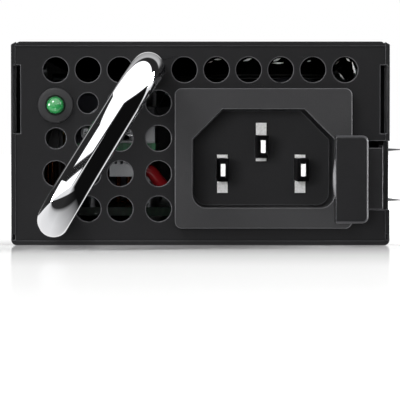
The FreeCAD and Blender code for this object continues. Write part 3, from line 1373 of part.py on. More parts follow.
def bridge_rectifier():
    """Flat moulded rectifier standing on its four legs at the board's front."""
    x, y = f"({INLET_X} + bridge_width / 2)", f"({BOARD_FRONT} + bridge_back)"
    block = brick("bridge_block", (f"{x} - bridge_width", x), (y, f"{y} + bridge_thick"),
                  (f"{BOARD_TOP} + bridge_thick", f"{BOARD_TOP} + bridge_thick + bridge_tall"))
    legs = []
    for index in range(BRIDGE_LEGS):
        side = f"({x} - bridge_width + {index + 0.5} * bridge_width / {BRIDGE_LEGS})"
        legs.append(brick(f"bridge_leg_{index}", (f"{side} - pin_side", side),
                          (f"{y} + bridge_thick / 2", f"{y} + bridge_thick / 2 + pin_side"),
                          (BOARD_TOP, f"{BOARD_TOP} + bridge_thick")))
    return sub_part(joined("bridge_whole", [block] + legs), "bridge_rectifier")


def output_capacitors():
    cans = []
    for row in range(OUTPUT_ROWS):
        for column in range(OUTPUT_COLUMNS):
            x, y = f"({OUTPUT_X} - {row} * output_pitch)", f"({OUTPUT_Y} - {column} * output_pitch)"
            cans.append(rod(f"out_can_{row}_{column}", "z", x, y, BOARD_TOP, "output_radius", "output_tall"))
    return sub_part(group("output_set", cans), "output_capacitors")


def insulating_film():
    """Clear film lining the lid behind the vents."""
    inset = "(steel_gauge + 3 * seat_gap)"
    top = brick("film_top", (f"-{WALL} + {inset}", f"{WALL} - {inset}"),
                (f"{PLATE_BACK} + face_return + seat_gap", f"{FAN_FRONT} - seat_gap"),
                (f"{ROOF} - film_thick", ROOF))
    return sub_part(top, "insulating_film")


case_tray()
case_cover()
cover_screws()
face_plate()
handle()
handle_screws()
inlet_body()
inlet_blades()
status_light()
latch_lever()
latch_catch()
latch_rivets()
latch_bracket()
latch_pin()
latch_spring()
main_board()
edge_contacts()
board_fixings()
rear_panel()
fan_frame()
fan_rotor()
fan_guard()
fan_screws()
filter_board()
filter_posts()
x_capacitor()
filter_clamp()
wire_plug()
fuse()
inlet_wires()
bulk_capacitors()
comb("primary_heatsink")
devices("power_transistors", "primary_heatsink", 3)
comb("secondary_heatsink")
devices("output_transistors", "secondary_heatsink", 3)
boost_choke()
transformer()
bridge_rectifier()
output_capacitors()
insulating_film()

# ---------------------------------------------------------------- check and write
doc.recompute()
for item in doc.Objects:
    if "Invalid" in item.State or "Error" in item.State:
        raise RuntimeError(f"{item.Name} failed: {item.State}")
for item in SUB_PARTS:
    if item.Shape.isNull() or not item.Shape.isValid():
        raise RuntimeError(f"{item.Label} has no valid shape")
    item.Shape.exportStep(f"parts/{item.Label}.step")
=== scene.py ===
"""Hot swap server power supply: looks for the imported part, in metres, in the part's own frame."""
import math

import bmesh
import bpy
from mathutils import Matrix, Vector


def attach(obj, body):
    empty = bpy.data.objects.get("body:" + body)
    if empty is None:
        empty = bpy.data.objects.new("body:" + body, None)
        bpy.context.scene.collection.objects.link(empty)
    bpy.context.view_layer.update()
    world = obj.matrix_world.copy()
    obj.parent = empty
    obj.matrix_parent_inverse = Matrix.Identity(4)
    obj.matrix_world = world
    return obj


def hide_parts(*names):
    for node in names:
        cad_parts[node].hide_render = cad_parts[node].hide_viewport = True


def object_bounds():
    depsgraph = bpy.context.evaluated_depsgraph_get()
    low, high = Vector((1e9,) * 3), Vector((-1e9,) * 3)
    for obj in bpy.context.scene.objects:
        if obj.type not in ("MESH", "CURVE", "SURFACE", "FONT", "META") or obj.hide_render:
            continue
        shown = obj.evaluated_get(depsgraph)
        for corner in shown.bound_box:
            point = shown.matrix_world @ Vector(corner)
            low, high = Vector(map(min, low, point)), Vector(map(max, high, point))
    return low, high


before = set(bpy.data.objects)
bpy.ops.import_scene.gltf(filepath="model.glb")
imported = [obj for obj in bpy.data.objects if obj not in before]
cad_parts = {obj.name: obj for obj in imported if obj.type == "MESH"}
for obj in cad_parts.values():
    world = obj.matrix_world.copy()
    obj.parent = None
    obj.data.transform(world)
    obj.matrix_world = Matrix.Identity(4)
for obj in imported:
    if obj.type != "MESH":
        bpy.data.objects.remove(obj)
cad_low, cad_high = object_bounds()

# ---- Stage: a seamless white table with a glossy top. The case stands on it, and its shine fades
# towards the viewer, as on a polished sheet that is lit from behind.
bpy.context.scene.view_settings.view_transform = "Standard"
MM = 0.001


def linear(code):
    """An sRGB hex colour as linear RGBA."""
    parts = [int(code[at:at + 2], 16) / 255 for at in (1, 3, 5)]
    return [part / 12.92 if part <= 0.04045 else ((part + 0.055) / 1.055) ** 2.4 for part in parts] + [1.0]


def add(tree, kind, inputs=(), stops=(), **settings):
    """A node with its settings, its inputs and a ramp's stops.

    An input is given a value, a socket, a node that stands for its first output, or a list of nodes to join.
    """
    node = tree.nodes.new(kind)
    for key, value in settings.items():
        setattr(node, key, value)
    for key, value in dict(inputs).items():
        joined = isinstance(value, list) and isinstance(value[0], bpy.types.Node)
        for source in value if joined else [value]:
            if isinstance(source, bpy.types.Node):
                source = source.outputs[0]
            if isinstance(source, bpy.types.NodeSocket):
                tree.links.new(source, node.inputs[key])
            else:
                node.inputs[key].default_value = source
    for index, (place, level) in enumerate(stops):
        elements = node.color_ramp.elements
        stop = elements[index] if index < len(elements) else elements.new(place)
        stop.position = place
        stop.color = (level, level, level, 1.0) if isinstance(level, float) else linear(level)
    return node


def placed(name, data):
    """A new object in the scene."""
    item = bpy.data.objects.new(name, data)
    bpy.context.scene.collection.objects.link(item)
    return item


def empty_material(name):
    """A material without nodes, and its tree."""
    made = bpy.data.materials.new(name)
    made.use_nodes = True
    made.node_tree.nodes.clear()
    return made, made.node_tree


FACE_Y = -90 * MM
SHINE_REACH, GLOW_START, GLOW_INNER, GLOW_OUTER = 300 * MM, -400 * MM, 50 * MM, 150 * MM
FLOOR_HALF, FLOOR_GAP = 3.0, 0.02 * MM
WHITE = linear("#FFFFFF")

# glossy white acrylic: a soft mirror image of the face that fades over a hand's width
table_top, tree = empty_material("polished_white_table")
place = add(tree, "ShaderNodeTexCoord").outputs["Object"]
across, along, _ = add(tree, "ShaderNodeSeparateXYZ", {"Vector": place}).outputs
ahead = add(tree, "ShaderNodeMapRange", {
    "Value": along, "From Min": FACE_Y, "From Max": FACE_Y - SHINE_REACH})
shine = add(tree, "ShaderNodeValToRGB", {"Fac": ahead}, stops=[
    (0.0, 0.62), (0.04, 0.55), (0.117, 0.33), (0.227, 0.13), (0.417, 0.06), (0.67, 0.02), (1.0, 0.0)])
path = add(tree, "ShaderNodeLightPath").outputs
matt = add(tree, "ShaderNodeBsdfDiffuse", {"Color": linear("#CBCBCB")})
lifted = add(tree, "ShaderNodeMapRange", {"Value": along, "From Min": GLOW_START, "From Max": 0.0})
level = add(tree, "ShaderNodeValToRGB", {"Fac": lifted}, stops=[
    (0.0, 0.22), (0.25, 0.08), (0.5, 0.0), (0.74, 0.0), (0.775, 0.1), (0.8, 0.35), (0.95, 1.0)])
sideways = add(tree, "ShaderNodeMath", {0: across}, operation="ABSOLUTE")
sideways = add(tree, "ShaderNodeMapRange", {
    "Value": sideways, "From Min": GLOW_INNER, "From Max": GLOW_OUTER})
level = add(tree, "ShaderNodeMath", {0: level, 1: sideways}, operation="MAXIMUM")
glow = add(tree, "ShaderNodeEmission", {"Color": WHITE, "Strength": level})
both = add(tree, "ShaderNodeAddShader", {0: matt, 1: glow})
lift = add(tree, "ShaderNodeMixShader", {"Fac": path["Is Camera Ray"], 1: matt, 2: both})
mirror = add(tree, "ShaderNodeBsdfGlossy", {"Color": WHITE, "Roughness": 0.06})
in_front = add(tree, "ShaderNodeMapRange", {"Value": along, "From Min": FACE_Y + 4 * MM, "From Max": FACE_Y})
share = add(tree, "ShaderNodeMath", {0: shine, 1: in_front}, operation="MULTIPLY")
top = add(tree, "ShaderNodeMixShader", {"Fac": share, 1: lift, 2: mirror})
# bright metal sees the lit table on its left, a dark strip in front, and the unlit side of the room
MIRRORED, TURN_LEFT, TURN_RIGHT = 400 * MM, -26 * MM, -12 * MM
near = add(tree, "ShaderNodeMapRange", {"Value": along, "From Min": FACE_Y, "From Max": FACE_Y - MIRRORED})
lit_side = add(tree, "ShaderNodeValToRGB", {"Fac": near}, stops=[
    (0.0, 0.95), (0.055, 0.85), (0.07, 0.6), (0.078, 0.03), (0.13, 0.03), (0.14, 0.9), (1.0, 0.9)])
dark_side = add(tree, "ShaderNodeValToRGB", {"Fac": near}, stops=[
    (0.0, 0.9), (0.025, 0.9), (0.033, 0.005), (1.0, 0.005)])
turn = add(tree, "ShaderNodeMapRange", {"Value": across, "From Min": TURN_LEFT, "From Max": TURN_RIGHT})
seen = add(tree, "ShaderNodeMixRGB", {"Fac": turn, "Color1": lit_side, "Color2": dark_side})
shown = add(tree, "ShaderNodeEmission", {"Color": seen})
done = add(tree, "ShaderNodeMixShader", {"Fac": path["Is Glossy Ray"], 1: top, 2: shown})
add(tree, "ShaderNodeOutputMaterial", {"Surface": done})

table_mesh = bpy.data.meshes.new("table")
corners = [(-FLOOR_HALF, -FLOOR_HALF, 0), (FLOOR_HALF, -FLOOR_HALF, 0), (FLOOR_HALF, FLOOR_HALF, 0),
           (-FLOOR_HALF, FLOOR_HALF, 0)]
table_mesh.from_pydata(corners, [], [(0, 1, 2, 3)])
table_mesh.materials.append(table_top)
table = placed("table", table_mesh)
table.location.z = cad_low.z - FLOOR_GAP


# ---- Studio: an even white room for matt things. Bright metal sees one wide softbox overhead and in
# front, with a dark seam across it, a grey room behind it and a white wall behind the case.
BAR_RUN, BAR_SIDE = Vector((0.53, 0, 0.848)), Vector((-0.848, 0, 0.53))
SEAM_SLANT, SOFTBOX_LEVEL, ROOM_LEVEL = 0.024, 1.6, 0.42
world = bpy.data.worlds.new("studio")
bpy.context.scene.world = world
world.use_nodes = True
tree = world.node_tree
tree.nodes.clear()
path = add(tree, "ShaderNodeLightPath").outputs
toward = add(tree, "ShaderNodeTexCoord").outputs["Generated"]
_, depth, height = add(tree, "ShaderNodeSeparateXYZ", {"Vector": toward}).outputs
# each measure says how far a direction leans towards a normal
measures = {}
for key, normal, low, high in (("seam", BAR_RUN + BAR_SIDE * SEAM_SLANT, -0.2, 0.2),
                               ("back", Vector((0.35, 1, 0)), -1, 1), ("left", Vector((-1, 0, 0)), -1, 1)):
    dot = add(tree, "ShaderNodeVectorMath", {0: toward, 1: normal}, operation="DOT_PRODUCT").outputs["Value"]
    measures[key] = add(tree, "ShaderNodeMapRange", {"Value": dot, "From Min": low, "From Max": high})
main = add(tree, "ShaderNodeValToRGB", {"Fac": measures["seam"]}, stops=[(0.425, 0.0), (0.428, 1.0)])
edge = add(tree, "ShaderNodeMapRange", {"Value": height, "From Min": 0.06, "From Max": 0.085})
limit = add(tree, "ShaderNodeMapRange", {
    "Value": measures["seam"], "From Min": 0.535, "From Max": 0.62, "To Min": 0.175, "To Max": 0.71})
rest = add(tree, "ShaderNodeMath", {0: limit, 1: measures["back"]}, operation="SUBTRACT")
rear = add(tree, "ShaderNodeMapRange", {"Value": rest, "From Min": 0.0, "From Max": 0.01})
below = add(tree, "ShaderNodeValToRGB", {"Fac": measures["seam"]}, stops=[(0.368, 1.0), (0.375, 0.0)])
leftward = add(tree, "ShaderNodeValToRGB", {"Fac": measures["left"]}, stops=[(0.57, 0.0), (0.6, 1.0)])
short = add(tree, "ShaderNodeMapRange", {"Value": depth, "From Min": 0.12, "From Max": 0.08})
panels = []
for first, second, third in ((main, edge, rear), (below, leftward, short)):
    both = add(tree, "ShaderNodeMath", {0: first, 1: second}, operation="MULTIPLY")
    panels.append(add(tree, "ShaderNodeMath", {0: both, 1: third}, operation="MULTIPLY"))
panel = add(tree, "ShaderNodeMath", {0: panels[0], 1: panels[1]}, operation="MAXIMUM")
behind = add(tree, "ShaderNodeMapRange", {"Value": depth, "From Min": -1.0, "From Max": 1.0})
room = add(tree, "ShaderNodeValToRGB", {"Fac": behind}, stops=[
    (0.0, 0.02), (0.84, 0.025), (0.93, 0.06), (0.97, 0.1), (0.98, 1.0)])
ceiling = add(tree, "ShaderNodeMapRange", {"Value": height, "From Min": 0.25, "From Max": 0.4})
strip = add(tree, "ShaderNodeValToRGB", {"Fac": behind}, stops=[
    (0.79, 0.0), (0.82, 1.0), (0.96, 0.6), (0.975, 0.2)])
overhead = add(tree, "ShaderNodeMath", {0: ceiling, 1: strip}, operation="MULTIPLY")
room = add(tree, "ShaderNodeMixRGB", {"Fac": overhead, "Color1": room, "Color2": linear("#C8C8C8")})
bright = (SOFTBOX_LEVEL, SOFTBOX_LEVEL, SOFTBOX_LEVEL, 1.0)
reflected = add(tree, "ShaderNodeMixRGB", {"Fac": panel, "Color1": room, "Color2": bright})
even = add(tree, "ShaderNodeBackground", {"Color": WHITE, "Strength": ROOM_LEVEL})
drawn = add(tree, "ShaderNodeBackground", {"Color": reflected})
white = add(tree, "ShaderNodeBackground", {"Color": WHITE})
metal = add(tree, "ShaderNodeMixShader", {"Fac": path["Is Glossy Ray"], 1: even, 2: drawn})
through = add(tree, "ShaderNodeMixShader", {"Fac": path["Is Transmission Ray"], 1: metal, 2: white})
page = add(tree, "ShaderNodeMixShader", {"Fac": path["Is Camera Ray"], 1: through, 2: white})
add(tree, "ShaderNodeOutputWorld", {"Surface": page})


def softbox(name, place, aim, width, tall, power, mirrored):
    """A rectangular lamp that faces a point. Bright metal shows it only where it is mirrored."""
    lamp = bpy.data.lights.new(name, "AREA")
    lamp.shape = "RECTANGLE"
    lamp.size = width
    lamp.size_y = tall
    lamp.energy = power
    holder = placed(name, lamp)
    holder.location = place
    holder.rotation_euler = (Vector(aim) - Vector(place)).to_track_quat("-Z", "Y").to_euler()
    holder.visible_glossy = mirrored


softbox("key_softbox", (-0.42, -0.55, 0.36), (-0.0166, -0.11, 0.0175), 0.95, 0.62, 1.1, False)
softbox("top_softbox", (0.1, 0.1, 0.9), (0.0, 0.0, 0.0), 0.9, 0.9, 1.1, False)
softbox("front_fill", (-0.06, -0.7, 0.045), (0.0, -0.09, 0.018), 0.15, 0.07, 2.1, False)
softbox("rim_light", (-0.32, -0.5, 0.52), (0.0, -0.09, 0.02), 0.2, 0.2, 2.6, True)
softbox("side_strip", (0.58, 0.0, 0.1), (0.026, -0.1, 0.012), 0.12, 0.4, 14.0, True)
softbox("left_strip", (-0.6, -0.12, 0.06), (0.02, -0.098, 0.012), 0.08, 0.1, 2.0, True)

CAMERA_PLACE = Vector((-0.07 * MM, -490 * MM, 17.8 * MM))
CAMERA_AIM = Vector((-0.07 * MM, FACE_Y, 7.9 * MM))
camera = placed("camera", bpy.data.cameras.new("camera"))
camera.data.sensor_width = 36.0
camera.data.lens = 206.6
camera.data.clip_start = 0.01
camera.location = CAMERA_PLACE
camera.rotation_euler = (CAMERA_AIM - CAMERA_PLACE).to_track_quat("-Z", "Y").to_euler()
bpy.context.scene.camera = camera


# ---- Case tray and lid: 0.8 mm sheet steel, sheared and folded, the lid let in between the tray's walls.
# Sprayed with black powder and baked, so it is satin and softly pebbled, with rounded edges.
def finish(name, base, second, grain, patch, rough, depth, spread=0.06, stretch=(1, 1, 1), skin=(), painted_edge_highlight=None):
    """A surface with grain in its relief and gloss, slow patches of a second colour, and a highlight painted
    pale on its edges.

    Grain, patch and depth are in mm. An edge is where the surface faces neither along nor across the case.
    """
    made, tree = empty_material(name)
    place = add(tree, "ShaderNodeTexCoord").outputs["Object"]
    drawn = add(tree, "ShaderNodeMapping", {"Vector": place, "Scale": stretch})
    fine = add(tree, "ShaderNodeTexNoise", {"Vector": drawn, "Scale": 1 / (grain * MM), "Detail": 3.0})
    slow = add(tree, "ShaderNodeTexNoise", {"Vector": place, "Scale": 1 / (patch * MM), "Detail": 4.0})
    colour = add(tree, "ShaderNodeMixRGB", {"Fac": slow, "Color1": linear(base), "Color2": linear(second)})
    # the edge colour is a painted highlight, standing in for light caught on rounded edges
    if painted_edge_highlight:
        facing = add(tree, "ShaderNodeTexCoord").outputs["Normal"]
        facing = add(tree, "ShaderNodeSeparateXYZ", {"Vector": facing}).outputs["Y"]
        facing = add(tree, "ShaderNodeMath", {0: facing}, operation="ABSOLUTE")
        edge = add(tree, "ShaderNodeValToRGB", {"Fac": facing}, stops=[
            (0.1, 0.0), (0.3, 1.0), (0.86, 1.0), (0.97, 0.0)])
        colour = add(tree, "ShaderNodeMixRGB", {"Fac": edge, "Color1": colour, "Color2": linear(painted_edge_highlight)})
    gloss = add(tree, "ShaderNodeMapRange", {
        "Value": fine, "To Min": rough - spread, "To Max": rough + spread})
    relief = add(tree, "ShaderNodeBump", {"Height": fine, "Distance": depth * MM})
    body = add(tree, "ShaderNodeBsdfPrincipled", {
        "Base Color": colour, "Roughness": gloss, "Normal": relief, **dict(skin)})
    add(tree, "ShaderNodeOutputMaterial", {"Surface": body})
    return made


WELD = 0.002


def welded(node):
    """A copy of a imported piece's surface with its flat faces whole again."""
    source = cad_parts[node].data
    work = bmesh.new()
    corners = [work.verts.new(vertex.co) for vertex in source.vertices]
    for face in source.polygons:
        work.faces.new([corners[at] for at in face.vertices])
    bmesh.ops.remove_doubles(work, verts=work.verts, dist=WELD * MM)
    bmesh.ops.dissolve_degenerate(work, dist=WELD / 2 * MM, edges=work.edges)
    bmesh.ops.dissolve_limit(work, angle_limit=math.radians(1), verts=work.verts, edges=work.edges)
    return closed(work, node)


def closed(work, name, outward=False):
    """The finished bmesh as a mesh, its faces turned outwards first if they may not be."""
    if outward:
        bmesh.ops.recalc_face_normals(work, faces=work.faces)
    mesh = bpy.data.meshes.new(name)
    work.to_mesh(mesh)
    work.free()
    return mesh


def baked(holder):
    """The plain mesh that an object's modifiers make. The modifiers and the object are removed."""
    graph = bpy.context.evaluated_depsgraph_get()
    made = bpy.data.meshes.new_from_object(holder.evaluated_get(graph), depsgraph=graph)
    holder.modifiers.clear()
    bpy.data.objects.remove(holder)
    return made


def applied(mesh, *modifiers):
    """The mesh with modifiers applied, each given as its kind and settings."""
    holder = placed("bench", mesh)
    for kind, settings in modifiers:
        modifier = holder.modifiers.new(kind.lower(), kind)
        for key, value in settings.items():
            setattr(modifier, key, value)
    return baked(holder)


def broken(mesh, width, steps=2, angle=35):
    """The mesh with its sharp edges broken by a small round, in mm."""
    mesh.shade_smooth()
    return applied(mesh, ("BEVEL", {"width": width * MM, "segments": steps, "limit_method": "ANGLE",
                                    "angle_limit": math.radians(angle), "use_clamp_overlap": False}),
                   ("WEIGHTED_NORMAL", {"keep_sharp": True}))


def smooth(mesh, angle=30):
    """The mesh shaded round, but for the edges that are sharper than the angle."""
    mesh.shade_smooth()
    mesh.set_sharp_from_angle(angle=math.radians(angle))
    return mesh


def piece(name, mesh, look, node, body="case"):
    """Sets a finished mesh on its body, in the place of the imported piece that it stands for."""
    if look:
        mesh.materials.clear()
        mesh.materials.append(look)
    item = placed(name, mesh)
    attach(item, body)
    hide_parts(node)


def dressed(name, node, look, edge=0.15, steps=2, body="case"):
    """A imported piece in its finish, its sharp edges broken by a small round, in mm."""
    piece(name, broken(welded(node), edge, steps), look, node, body)


SHEET, FRONT_EDGE = 0.8, -90.0
WALL_OUT, WALL_TOP, LID_TOP, TOP_SLOPE = 33.0, 35.2, 35.42, 0.45
SLOT_LOW, SLOT_HIGH, SLOT_SKIN, SLOT_DEEP = 19.5, 31.4, 0.4, 1.6
RELIEF_LOW, RELIEF_HIGH, RELIEF_OUT, RELIEF_IN, RELIEF_DEEP = 0.85, 1.95, 32.75, 32.1, 1.8
CLEAR, TOUCH = 1.0, 0.1


def boxed(low, high, edge=0.0):
    """A block between two corners with broken edges, in mm."""
    work = bmesh.new()
    bmesh.ops.create_cube(work, size=1.0)
    low, high = Vector(low), Vector(high)
    for vertex in work.verts:
        vertex.co = [((a + b) / 2 + (b - a) * c) * MM for a, b, c in zip(low, high, vertex.co)]
    mesh = closed(work, "block")
    return broken(mesh, edge) if edge else mesh


def carved(mesh, *tools):
    """The mesh with blocks cut out of it."""
    for tool in tools:
        cutter = placed("cutter", tool)
        mesh = applied(mesh, ("BOOLEAN", {"operation": "DIFFERENCE", "solver": "EXACT", "object": cutter}))
        bpy.data.objects.remove(cutter)
    return mesh


def wall_cuts(outer, inner, low, high, deep):
    """Two blocks, left and right, that cut into the front edges of the side walls, in mm."""
    return [boxed((min(side * outer, side * inner), FRONT_EDGE - CLEAR, low),
                  (max(side * outer, side * inner), FRONT_EDGE + deep, high)) for side in (-1, 1)]


# fine orange peel, half matt, with a pale highlight painted on its edges
black_powder = finish("black_powder_coat", "#131314", "#171718", grain=0.4, patch=18, rough=0.5, depth=0.012,
                      skin={"Specular IOR Level": 0.13}, painted_edge_highlight="#4C4C4E")
tray = welded("case_tray")
# the walls' top edges rise to the lid and slope off outwards
for vertex in tray.vertices:
    if abs(vertex.co.z - WALL_TOP * MM) < TOUCH * MM:
        outside = abs(vertex.co.x) > (WALL_OUT - TOUCH) * MM
        vertex.co.z = (LID_TOP - TOP_SLOPE * outside) * MM
# each wall's front edge is notched behind a thin skin, beside the vents
slots = wall_cuts(WALL_OUT - SLOT_SKIN, WALL_OUT - SHEET - TOUCH, SLOT_LOW, SLOT_HIGH, SLOT_DEEP)
# each wall's bend is relieved beside the plate's lower corner: a short gap that stays dark
reliefs = wall_cuts(RELIEF_OUT, RELIEF_IN, RELIEF_LOW, RELIEF_HIGH, RELIEF_DEEP)
tray = carved(tray, *slots, *reliefs)
piece("tray_shell", broken(tray, width=0.1), black_powder, "case_tray")
dressed("cover_shell", "case_cover", black_powder, edge=0.1)


# ---- Cover screws: six small countersunk steel screws, zinc plated, that pull the lid to the walls.
# Bright plating with a cross recess that holds shadow.
def sized_tree(name, sizes):
    """A geometry node tree with named inputs, and those inputs' sockets."""
    tree = bpy.data.node_groups.new(name, "GeometryNodeTree")
    tree.interface.new_socket("Geometry", in_out="INPUT", socket_type="NodeSocketGeometry")
    for size, kind in sizes.items():
        tree.interface.new_socket(size, in_out="INPUT", socket_type="NodeSocket" + kind)
    tree.interface.new_socket("Geometry", in_out="OUTPUT", socket_type="NodeSocketGeometry")
    return tree, add(tree, "NodeGroupInput").outputs


def grown(tree, seed, sizes):
    """The plain mesh that a tree makes of a seed mesh with the given sizes."""
    holder = placed("bench", seed)
    modifier = holder.modifiers.new("grow", "NODES")
    modifier.node_group = tree
    for socket in tree.interface.items_tree:
        if socket.in_out == "INPUT" and socket.name in sizes:
            modifier[socket.identifier] = sizes[socket.name]
    return baked(holder)


def ended(tree, geometry, look=None):
    """The tree with its end: instances made real, and set to a material unless their parts have their own."""
    last = add(tree, "GeometryNodeRealizeInstances", {"Geometry": geometry})
    if look is not None:
        last = add(tree, "GeometryNodeSetMaterial", {"Geometry": last, "Material": look})
    add(tree, "NodeGroupOutput", {"Geometry": last})
    return tree


def dotted(places):
    """A mesh of loose points, in mm."""
    mesh = bpy.data.meshes.new("points")
    mesh.from_pydata([Vector(place) * MM for place in places], [], [])
    return mesh


SCREW_SIDES, SHANK_SIDES, ARM_SHARE, DEEP_SHARE = 48, 24, 0.26, 1.2
tree, given = sized_tree("cross_head_screws", {
    "Head Radius": "Float", "Under Radius": "Float", "Head Height": "Float", "Recess": "Float",
    "Shank Radius": "Float", "Shank Length": "Float", "Turn": "Vector", "Material": "Material"})
head = add(tree, "GeometryNodeMeshCone", {
    "Vertices": SCREW_SIDES, "Radius Top": given["Head Radius"], "Radius Bottom": given["Under Radius"],
    "Depth": given["Head Height"]})
arm = add(tree, "ShaderNodeMath", {0: given["Recess"], 1: ARM_SHARE}, operation="MULTIPLY")
deep = add(tree, "ShaderNodeMath", {0: given["Head Height"], 1: DEEP_SHARE}, operation="MULTIPLY")
raise_by = add(tree, "ShaderNodeCombineXYZ", {"Z": given["Head Height"]})
bars = []
for long, wide in ((given["Recess"], arm), (arm, given["Recess"])):
    size = add(tree, "ShaderNodeCombineXYZ", {"X": long, "Y": wide, "Z": deep})
    bar = add(tree, "GeometryNodeMeshCube", {"Size": size})
    bars.append(add(tree, "GeometryNodeTransform", {"Geometry": bar, "Translation": raise_by}))
for bar in bars:
    head = add(tree, "GeometryNodeMeshBoolean", {"Mesh 1": head, "Mesh 2": bar}, operation="DIFFERENCE")
shank = add(tree, "GeometryNodeMeshCylinder", {
    "Vertices": SHANK_SIDES, "Radius": given["Shank Radius"], "Depth": given["Shank Length"]})
half = add(tree, "ShaderNodeMath", {0: given["Shank Length"], 1: -0.5}, operation="MULTIPLY")
down = add(tree, "ShaderNodeCombineXYZ", {"Z": half})
shank = add(tree, "GeometryNodeTransform", {"Geometry": shank, "Translation": down})
whole = add(tree, "GeometryNodeJoinGeometry", {"Geometry": [head, shank]})
facing = add(tree, "FunctionNodeEulerToRotation", {"Euler": given["Turn"]})
spread = add(tree, "GeometryNodeInstanceOnPoints", {
    "Points": given["Geometry"], "Instance": whole, "Rotation": facing})
screw_tree = ended(tree, spread, given["Material"])

# passivated: bright silver with a faint mottle
zinc = finish("bright_zinc_plate", "#B4B6BA", "#98999C", grain=0.35, patch=3, rough=0.3, depth=0.008,
              skin={"Metallic": 1.0})
QUARTER = math.pi / 2
UPWARD, FRONTWARD, REARWARD = (0, 0, 0), (QUARTER, 0, 0), (-QUARTER, 0, 0)
LEFTWARD, RIGHTWARD = (0, -QUARTER, 0), (0, QUARTER, 0)


def screws(name, node, places, turn, look, head, under, tall, recess, shank, length, edge=0.3):
    """Cross-head screws seated at the places. Sizes in mm: head, under and shank are radii."""
    sizes = {"Head Radius": head * MM, "Under Radius": under * MM, "Head Height": tall * MM,
             "Recess": recess * MM, "Shank Radius": shank * MM, "Shank Length": length * MM,
             "Turn": turn, "Material": look}
    piece(name, broken(grown(screw_tree, dotted(places), sizes), edge), None, node)


def merged(*meshes):
    """Several meshes of one finish as one."""
    work = bmesh.new()
    for mesh in meshes:
        work.from_mesh(mesh)
    return closed(work, meshes[0].name)


COVER_SCREW_Z, COVER_SCREW_Y = 31.5, 60.0
for side, turn in ((-1, LEFTWARD), (1, RIGHTWARD)):
    seats = [(side * (WALL_OUT - SHEET), step * COVER_SCREW_Y, COVER_SCREW_Z) for step in (-1, 0, 1)]
    screws("cover_screws_left" if side < 0 else "cover_screws_right", "cover_screws", seats, turn, zinc,
           head=1.93, under=1.2, tall=0.8, recess=2.1, shank=1.2, length=3.5, edge=0.06)


# ---- Face plate: sheet steel, punched with round vents and folded back at its top and bottom edges.
# Powder coated like the case. The coat rolls over each punched edge and catches the light there.
tree, given = sized_tree("punched_sheet", {"Thickness": "Float", "Hole Sides": "Int", "Material": "Material"})
radius = add(tree, "GeometryNodeInputNamedAttribute", {"Name": "hole_radius"}, data_type="FLOAT")
radius = radius.outputs["Attribute"]
split = add(tree, "GeometryNodeSeparateGeometry", {
    "Geometry": given["Geometry"], "Selection": radius}).outputs
circle = add(tree, "GeometryNodeCurvePrimitiveCircle", {"Resolution": given["Hole Sides"]})
punches = add(tree, "GeometryNodeInstanceOnPoints", {
    "Points": split["Selection"], "Instance": circle, "Scale": radius})
real = add(tree, "GeometryNodeRealizeInstances", {"Geometry": punches})
outlines = add(tree, "GeometryNodeMeshToCurve", {"Mesh": split["Inverted"]})
both = add(tree, "GeometryNodeJoinGeometry", {"Geometry": [real, outlines]})
flat = add(tree, "GeometryNodeFillCurve", {"Curve": both}, mode="NGONS")
raised = add(tree, "GeometryNodeExtrudeMesh", {
    "Mesh": flat, "Offset Scale": given["Thickness"], "Individual": False})
under = add(tree, "GeometryNodeFlipFaces", {"Mesh": flat})
whole = add(tree, "GeometryNodeJoinGeometry", {"Geometry": [raised, under]})
sewn = add(tree, "GeometryNodeMergeByDistance", {"Geometry": whole, "Distance": WELD * MM})
sheet_tree = ended(tree, sewn, given["Material"])


def punched(front, thick, rim, outlines, holes, look):
    """A standing sheet with its front at a depth, round holes, and edges rolled by the rim. Sizes in mm."""
    spots, edges = [], []
    for outline in outlines:
        first = len(spots)
        spots += [(across * MM, height * MM, 0) for across, height in outline]
        edges += [(first + step, first + (step + 1) % len(outline)) for step in range(len(outline))]
    radii = [0.0] * len(spots) + [radius * MM for *_, radius in holes]
    spots += [(across * MM, height * MM, 0) for across, height, _ in holes]
    seed = bpy.data.meshes.new("sheet_seed")
    seed.from_pydata(spots, edges, [])
    seed.attributes.new("hole_radius", "FLOAT", "POINT").data.foreach_set("value", radii)
    mesh = grown(sheet_tree, seed, {"Thickness": thick * MM, "Hole Sides": HOLE_SIDES, "Material": look})
    mesh.transform(Matrix.Translation((0, (front + thick) * MM, 0)) @ Matrix.Rotation(QUARTER, 4, "X"))
    work = bmesh.new()
    work.from_mesh(mesh)
    return broken(closed(work, "sheet", outward=True), rim)


def block(left, right, low, high):
    """The corners of an upright rectangle."""
    return [(left, low), (right, low), (right, high), (left, high)]


HOLE_SIDES, TOP_VENTS, FIELD_ROWS, PLATE_LAP, PLATE_ROUND = 56, 10, 4, 0.2, 0.22
PLATE_FRONT, PLATE_HALF, PLATE_LOW, PLATE_HIGH = -89.7, 32.35, 0.65, 34.85
VENT, SMALL_VENT, VENT_PITCH, VENT_ROW = 2.2, 1.775, 5.6, 6.15
FIRST_COLUMN, INNER_COLUMN, TOP_ROW, FIELD_ROW = -25.2, -7.3, 30.6, 24.8
LIGHT_X, LIGHT_Z, BARREL = -25.2, 24.4, 2.35
FOOT_LOW, FOOT_HIGH, FOOT_HOLE = (-24.5, 4.9), (-8.7, 30.2), 1.5
INLET_X, INLET_Z, WINDOW_WIDE, WINDOW_TALL = 10.95, 15.15, 27.3, 19.9
LATCH_LEFT, LATCH_LOW, LATCH_HIGH, EDGE_NOTCH = 26.6, 6.2, 18.2, 0.75
RETURN_HALF, RETURN_BACK = 31.2, -80.9
columns = [FIRST_COLUMN + step * VENT_PITCH for step in range(TOP_VENTS)]
